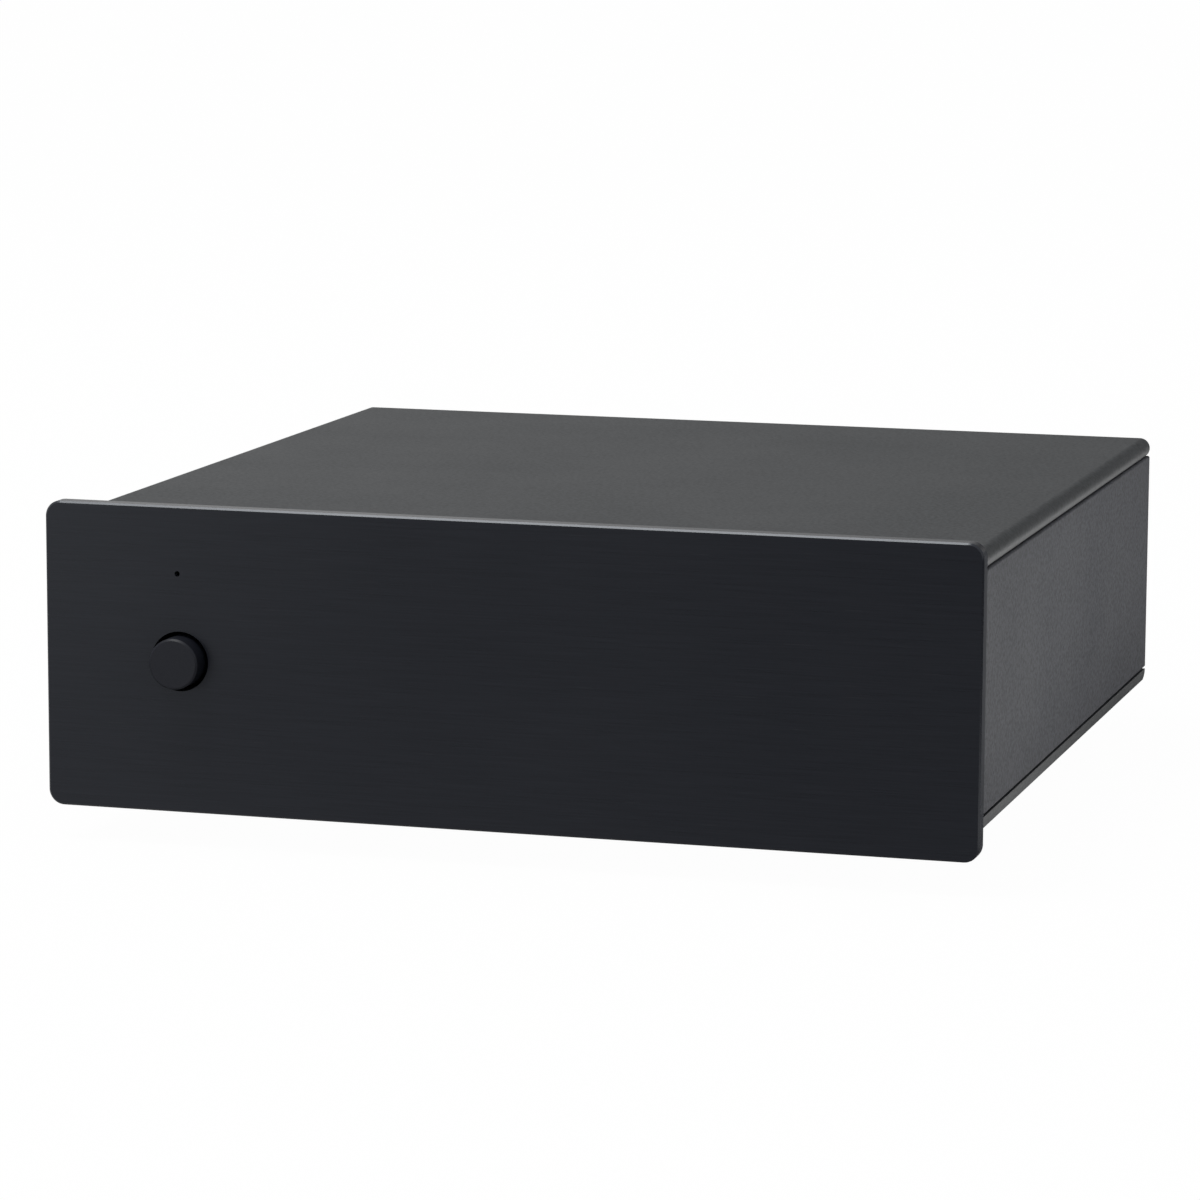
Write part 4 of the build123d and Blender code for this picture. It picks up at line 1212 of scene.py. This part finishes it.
def printed_words(words, size):
    """Words as a thin sheet of ink, flat on the XY plane and centred on the origin."""
    nothing_selected()
    bpy.ops.object.text_add()
    letters = bpy.context.object
    letters.data.body = words
    letters.data.size = size
    letters.data.align_x = "CENTER"
    letters.data.align_y = "CENTER"
    letters.data.resolution_u = 4
    letters.data.extrude = ink_thickness / 2
    bpy.ops.object.convert(target="MESH")
    return faces_out(bpy.context.object)


print("ink", round(ink_thickness / MM, 3), "mm thick")

# %% [markdown]
# The ground sign is drawn from bars. Each is a small plane with rounded corners, extruded just as
# thin as the letters.

# %% Bars
bar_corner_share = 0.3


def printed_bar(width, height):
    """A bar of ink with rounded corners, centred on the origin."""
    nothing_selected()
    bpy.ops.mesh.primitive_plane_add(size=1.0)
    bar = bpy.context.object
    bar.scale = (width, height, 1.0)
    placed(bar, 0, 0, -ink_thickness / 2)
    edit_points(bar, lambda point: True)
    corner = min(width, height) * bar_corner_share
    bpy.ops.mesh.bevel(offset=corner, segments=3, affect="VERTICES")
    bpy.ops.mesh.select_all(action="SELECT")
    bpy.ops.mesh.extrude_region_move(TRANSFORM_OT_translate={"value": (0, 0, ink_thickness)})
    object_mode()
    return faces_out(bar)


print("corners round over", bar_corner_share, "of a bar's shorter side")

# %% [markdown]
# The marks on the rear panel are stood up and turned half round, because they face away from the
# front. Their places come from the parts that they belong to: each letter stands above its own
# socket, and each word in the middle below its pair.

# %% Print the rear panel
facing_rear = (90.0, 0.0, 180.0)
rear_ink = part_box("rear_panel")[1].y + ink_thickness / 2
letter_rise = 7.4 * MM
word_drop = 7.6 * MM
letter_height = middle("output_left_socket_shell").z + letter_rise
word_height = middle("output_left_socket_shell").z - word_drop
ground_bars = (2.6 * MM, 1.7 * MM, 0.8 * MM)
ground_bar_height = 0.3 * MM
ground_bar_pitch = 0.62 * MM
ground_stem = 1.0 * MM

rear_marks = []


def mark_rear(mark, x, height):
    """Stand a mark up on the rear panel, with its middle at x and height."""
    rear_marks.append(placed(mark, x, rear_ink, height, facing_rear))


for pair, word in (("input", "IN"), ("output", "OUT")):
    sockets = {side: middle(f"{pair}_{side}_socket_shell").x for side in ("left", "right")}
    for side, socket_x in sockets.items():
        mark_rear(printed_words(side[0].upper(), letter_size), socket_x, letter_height)
    mark_rear(printed_words(word, letter_size), sum(sockets.values()) / 2, word_height)
mark_rear(printed_words("DC", letter_size), middle("power_jack_body").x, letter_height)

ground_x = middle("ground_post").x
for row, width in enumerate(ground_bars):
    mark_rear(printed_bar(width, ground_bar_height), ground_x, letter_height - row * ground_bar_pitch)
mark_rear(printed_bar(ground_bar_height, ground_stem), ground_x, letter_height + ground_stem / 2)
dressed(joined("printed_marks_rear", *rear_marks), "root", "white_plastic")
print(len(rear_marks), "marks on the rear panel")

# %% [markdown]
# Underneath, each bank of sliders has its numbers along one edge of its window and one word along
# the other. A number is centred on its own slider.

# %% Print the underside
underside_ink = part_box("bottom_cover")[0].z - ink_thickness / 2
number_distance = 7.0 * MM
switch_ways = 6

under_marks = []
for bank in ("left", "right"):
    bank_middle = middle(f"setting_bank_{bank}")
    for way in range(1, switch_ways + 1):
        slider_x = middle(f"slider_{bank}_{way}").x
        number_y = bank_middle.y + number_distance
        digit = printed_words(str(way), digit_size)
        under_marks.append(placed(digit, slider_x, number_y, underside_ink, towards_floor))
    word = printed_words("ON", digit_size)
    word_y = bank_middle.y - number_distance
    under_marks.append(placed(word, bank_middle.x, word_y, underside_ink, towards_floor))
dressed(joined("printed_marks_underside", *under_marks), "root", "white_plastic")
print(len(under_marks), "marks on the underside")

# %% [markdown]
# ## The studio
#
# A pale sweep of paper: a floor that curves up into a wall behind the box, so that there is no
# horizon. It is made from one plane, whose rear edge is extruded upwards, and whose corner is then
# bevelled round.

# %% Floor and backdrop
floor_half = 1.6
wall_height = 2.2
sweep_radius = 0.7
sweep_segments = 24

nothing_selected()
bpy.ops.mesh.primitive_plane_add(size=2 * floor_half, location=(0, 0, 0))
sweep = bpy.context.object
sweep.name = "paper_sweep"
edit_edges(sweep, lambda a, b: a.y > 0 and b.y > 0)
bpy.ops.mesh.extrude_region_move(TRANSFORM_OT_translate={"value": (0, 0, wall_height)})
object_mode()
edit_edges(sweep, lambda a, b: min(a.y, b.y) > 0 and max(a.z, b.z) < wall_height / 2)
bpy.ops.mesh.bevel(offset=sweep_radius, segments=sweep_segments, affect="EDGES")
object_mode()
smooth(sweep, angle=60.0)
print("sweep of", len(sweep.data.polygons), "faces")

# %% [markdown]
# ## What the metal mirrors
#
# Black metal shows hardly anything except reflections, and evenly lit paper would make it flat. So
# a mirror sees the paper as a studio would light it: a bright wall, grey floor in front that fades
# towards the right, and pools of light on the floor beside the box, which the coated side and the
# rolled edges of the covers pick up. The long fade is one ramp of brightness along a direction on
# the floor.

# %% A ramp of light
glow_direction = (-0.90, 0.40, 0.0)
# Each step of the ramp: how far along the direction, in metres, and the glow there.
glow_ramp = ((-0.12, 0.10), (-0.03, 0.27), (0.05, 0.48), (0.40, 0.08), (1.20, 0.66))


def ramp_of_light(tree, place):
    """A brightness that runs from one step of the ramp to the next along its direction."""
    towards = add(tree, "ShaderNodeVectorMath", {1: glow_direction}, operation="DOT_PRODUCT")
    connect(tree, place, towards, 0)
    nearest, farthest = glow_ramp[0][0], glow_ramp[-1][0]
    along = spread(tree, towards.outputs["Value"], from_low=nearest, from_high=farthest)
    fall_off = add(tree, "ShaderNodeValToRGB")
    steps = fall_off.color_ramp.elements
    for at, glow in glow_ramp[1:-1]:
        steps.new((at - nearest) / (farthest - nearest)).color = (glow, glow, glow, 1.0)
    for end, (_, glow) in ((0, glow_ramp[0]), (-1, glow_ramp[-1])):
        steps[end].color = (glow, glow, glow, 1.0)
    connect(tree, along, fall_off, "Fac")
    return fall_off.outputs["Color"]


print("a ramp of", len(glow_ramp), "steps, from", glow_ramp[0][0], "m to", glow_ramp[-1][0], "m")

# %% [markdown]
# Each pool of light is an oval around its own middle, and is added on top of the ramp. A smooth
# step, instead of a straight one, hides where the oval ends.

# %% Pools of light
# Each pool: its middle, its reach along X and Y, and its glow.
glow_pools = (
    ((0.16, 0.06, 0.0), (0.10, 0.10, 1.0), 3.0),
    ((0.12, 0.12, 0.0), (0.07, 0.22, 1.0), 1.9),
    ((0.10, -0.02, 0.0), (0.06, 0.08, 1.0), 3.0),
)


def pool_of_light(tree, place, centre, reach, brightness):
    """A soft-edged oval that is brightest in its middle."""
    offset = add(tree, "ShaderNodeVectorMath", {1: centre}, operation="SUBTRACT")
    connect(tree, place, offset, 0)
    share = add(tree, "ShaderNodeVectorMath", {1: reach}, operation="DIVIDE")
    connect(tree, offset.outputs["Vector"], share, 0)
    away = add(tree, "ShaderNodeVectorMath", operation="LENGTH")
    connect(tree, share.outputs["Vector"], away, 0)
    pool = add(
        tree,
        "ShaderNodeMapRange",
        {"From Min": 0.0, "From Max": 1.0, "To Min": brightness, "To Max": 0.0},
        interpolation_type="SMOOTHSTEP",
    )
    connect(tree, away.outputs["Value"], pool, "Value")
    return pool.outputs["Result"]


def glow_in_mirrors(tree):
    """How bright each place of the paper is in a mirror: the ramp plus every pool."""
    place = add(tree, "ShaderNodeTexCoord").outputs["Object"]
    glow = ramp_of_light(tree, place)
    for centre, reach, brightness in glow_pools:
        total = add(tree, "ShaderNodeMath", operation="ADD")
        connect(tree, glow, total, 0)
        connect(tree, pool_of_light(tree, place, centre, reach, brightness), total, 1)
        glow = total.outputs["Value"]
    return glow


print(len(glow_pools), "pools of light, the brightest", max(pool[-1] for pool in glow_pools))

# %% [markdown]
# ## The paper
#
# Cycles can tell where a ray comes from, and the Light Path node passes that on. So one surface can
# look different to the camera, to a mirror and to a dull surface. Each choice is one Mix Shader
# node.

# %% Choosing by where a ray comes from
def glowing(tree, strength, colour=(1.0, 1.0, 1.0), kind="ShaderNodeEmission"):
    """A shader that gives light of its own."""
    return add(tree, kind, {"Color": (*colour, 1.0), "Strength": strength}).outputs[0]


def either(tree, share, first, second):
    """The first shader where the share is 0, and the second where it is 1."""
    made = add(tree, "ShaderNodeMixShader")
    connect(tree, share, made, "Fac")
    connect(tree, first, made, 1)
    connect(tree, second, made, 2)
    return made.outputs["Shader"]


def mirror_ray(tree, path):
    """1 for a ray from a mirror or through glass, 0 for any other."""
    made = add(tree, "ShaderNodeMath", operation="MAXIMUM")
    connect(tree, path.outputs["Is Glossy Ray"], made, 0)
    connect(tree, path.outputs["Is Transmission Ray"], made, 1)
    return made.outputs["Value"]


print("a choice is made of", glowing.__name__, either.__name__, "and", mirror_ray.__name__)

# %% [markdown]
# The camera sees the paper as white, with a small share of its real shading, so that the box keeps
# a soft shadow. A mirror sees the glow made above. A ray that bounced off a dull surface sees an
# even pale light.

# %% Paper that looks white
white_share = 0.98
bounce_glow = 0.9


def paper():
    """White paper to the camera, and paper lit in pools to a mirror."""
    material, tree, shader = start_finish("pale_paper", (0.8, 0.8, 0.8), 0.9)
    shader.inputs["Specular IOR Level"].default_value = 0.0
    path = add(tree, "ShaderNodeLightPath")
    bounced = glowing(tree, bounce_glow)
    lit = either(tree, path.outputs["Is Diffuse Ray"], shader.outputs["BSDF"], bounced)
    camera_share = add(tree, "ShaderNodeMath", {1: white_share}, operation="MULTIPLY")
    connect(tree, path.outputs["Is Camera Ray"], camera_share, 0)
    seen = either(tree, camera_share.outputs["Value"], lit, glowing(tree, 1.0))
    mirrored = add(tree, "ShaderNodeEmission")
    connect(tree, glow_in_mirrors(tree), mirrored, "Strength")
    both = either(tree, mirror_ray(tree, path), seen, mirrored.outputs["Emission"])
    # From below the paper isn't there, so that the underside can be looked at.
    side = add(tree, "ShaderNodeNewGeometry")
    clear = add(tree, "ShaderNodeBsdfTransparent")
    one_sided = either(tree, side.outputs["Backfacing"], both, clear.outputs["BSDF"])
    connect(tree, one_sided, tree.nodes["Material Output"], "Surface")
    return material


sweep.data.materials.append(paper())
print("paper of", len(sweep.data.materials[0].node_tree.nodes), "shader nodes")

# %% [markdown]
# ## The lamps
#
# Two soft boxes. The large one hangs overhead, a little to the front and the left, just where the
# face plate's bevelled upper edge mirrors it towards the camera as a pale line. The small one
# stands low at the front left, and gives the button its soft sheen.

# %% Soft boxes
lamp_aim = (0.0, 0.0, 0.02)


def soft_box(name, place, width, height, watts):
    """A rectangular area lamp at a place, turned towards the box."""
    data = bpy.data.lights.new(name, "AREA")
    data.shape = "RECTANGLE"
    data.size = width
    data.size_y = height
    data.energy = watts
    lamp = bpy.data.objects.new(name, data)
    bpy.context.scene.collection.objects.link(lamp)
    lamp.location = place
    lamp.rotation_euler = (Vector(lamp_aim) - Vector(place)).to_track_quat("-Z", "Y").to_euler()


soft_box("overhead_soft_box", (-0.37, -0.22, 1.3), width=0.7, height=0.5, watts=10.0)
soft_box("front_soft_box", (-0.85, -1.0, 0.16), width=0.6, height=0.3, watts=3.0)

# %% [markdown]
# ## The sky
#
# A soft even light all round, a trace cooler than the lamps, fills the shadows. Like the paper it
# is white to the camera, and a mirror sees it as a pale grey of its own strength.

# %% A soft sky
sky_colour = (0.96, 0.98, 1.0)
sky_light = 0.55
sky_mirrored = 0.8


def studio_sky():
    """A sky with one strength for light, another for mirrors, and white for the camera."""
    world = bpy.data.worlds.new("studio")
    bpy.context.scene.world = world
    world.use_nodes = True
    tree = world.node_tree
    path = add(tree, "ShaderNodeLightPath")
    lit = tree.nodes["Background"]
    lit.inputs["Color"].default_value = (*sky_colour, 1.0)
    lit.inputs["Strength"].default_value = sky_light
    grey = glowing(tree, sky_mirrored, sky_colour, "ShaderNodeBackground")
    white = glowing(tree, 1.0, kind="ShaderNodeBackground")
    mirrored = either(tree, mirror_ray(tree, path), lit.outputs["Background"], grey)
    seen = either(tree, path.outputs["Is Camera Ray"], mirrored, white)
    connect(tree, seen, tree.nodes["World Output"], "Surface")


studio_sky()
bpy.context.scene.view_settings.view_transform = "Standard"
print("sky strength", sky_light, "and in mirrors", sky_mirrored)
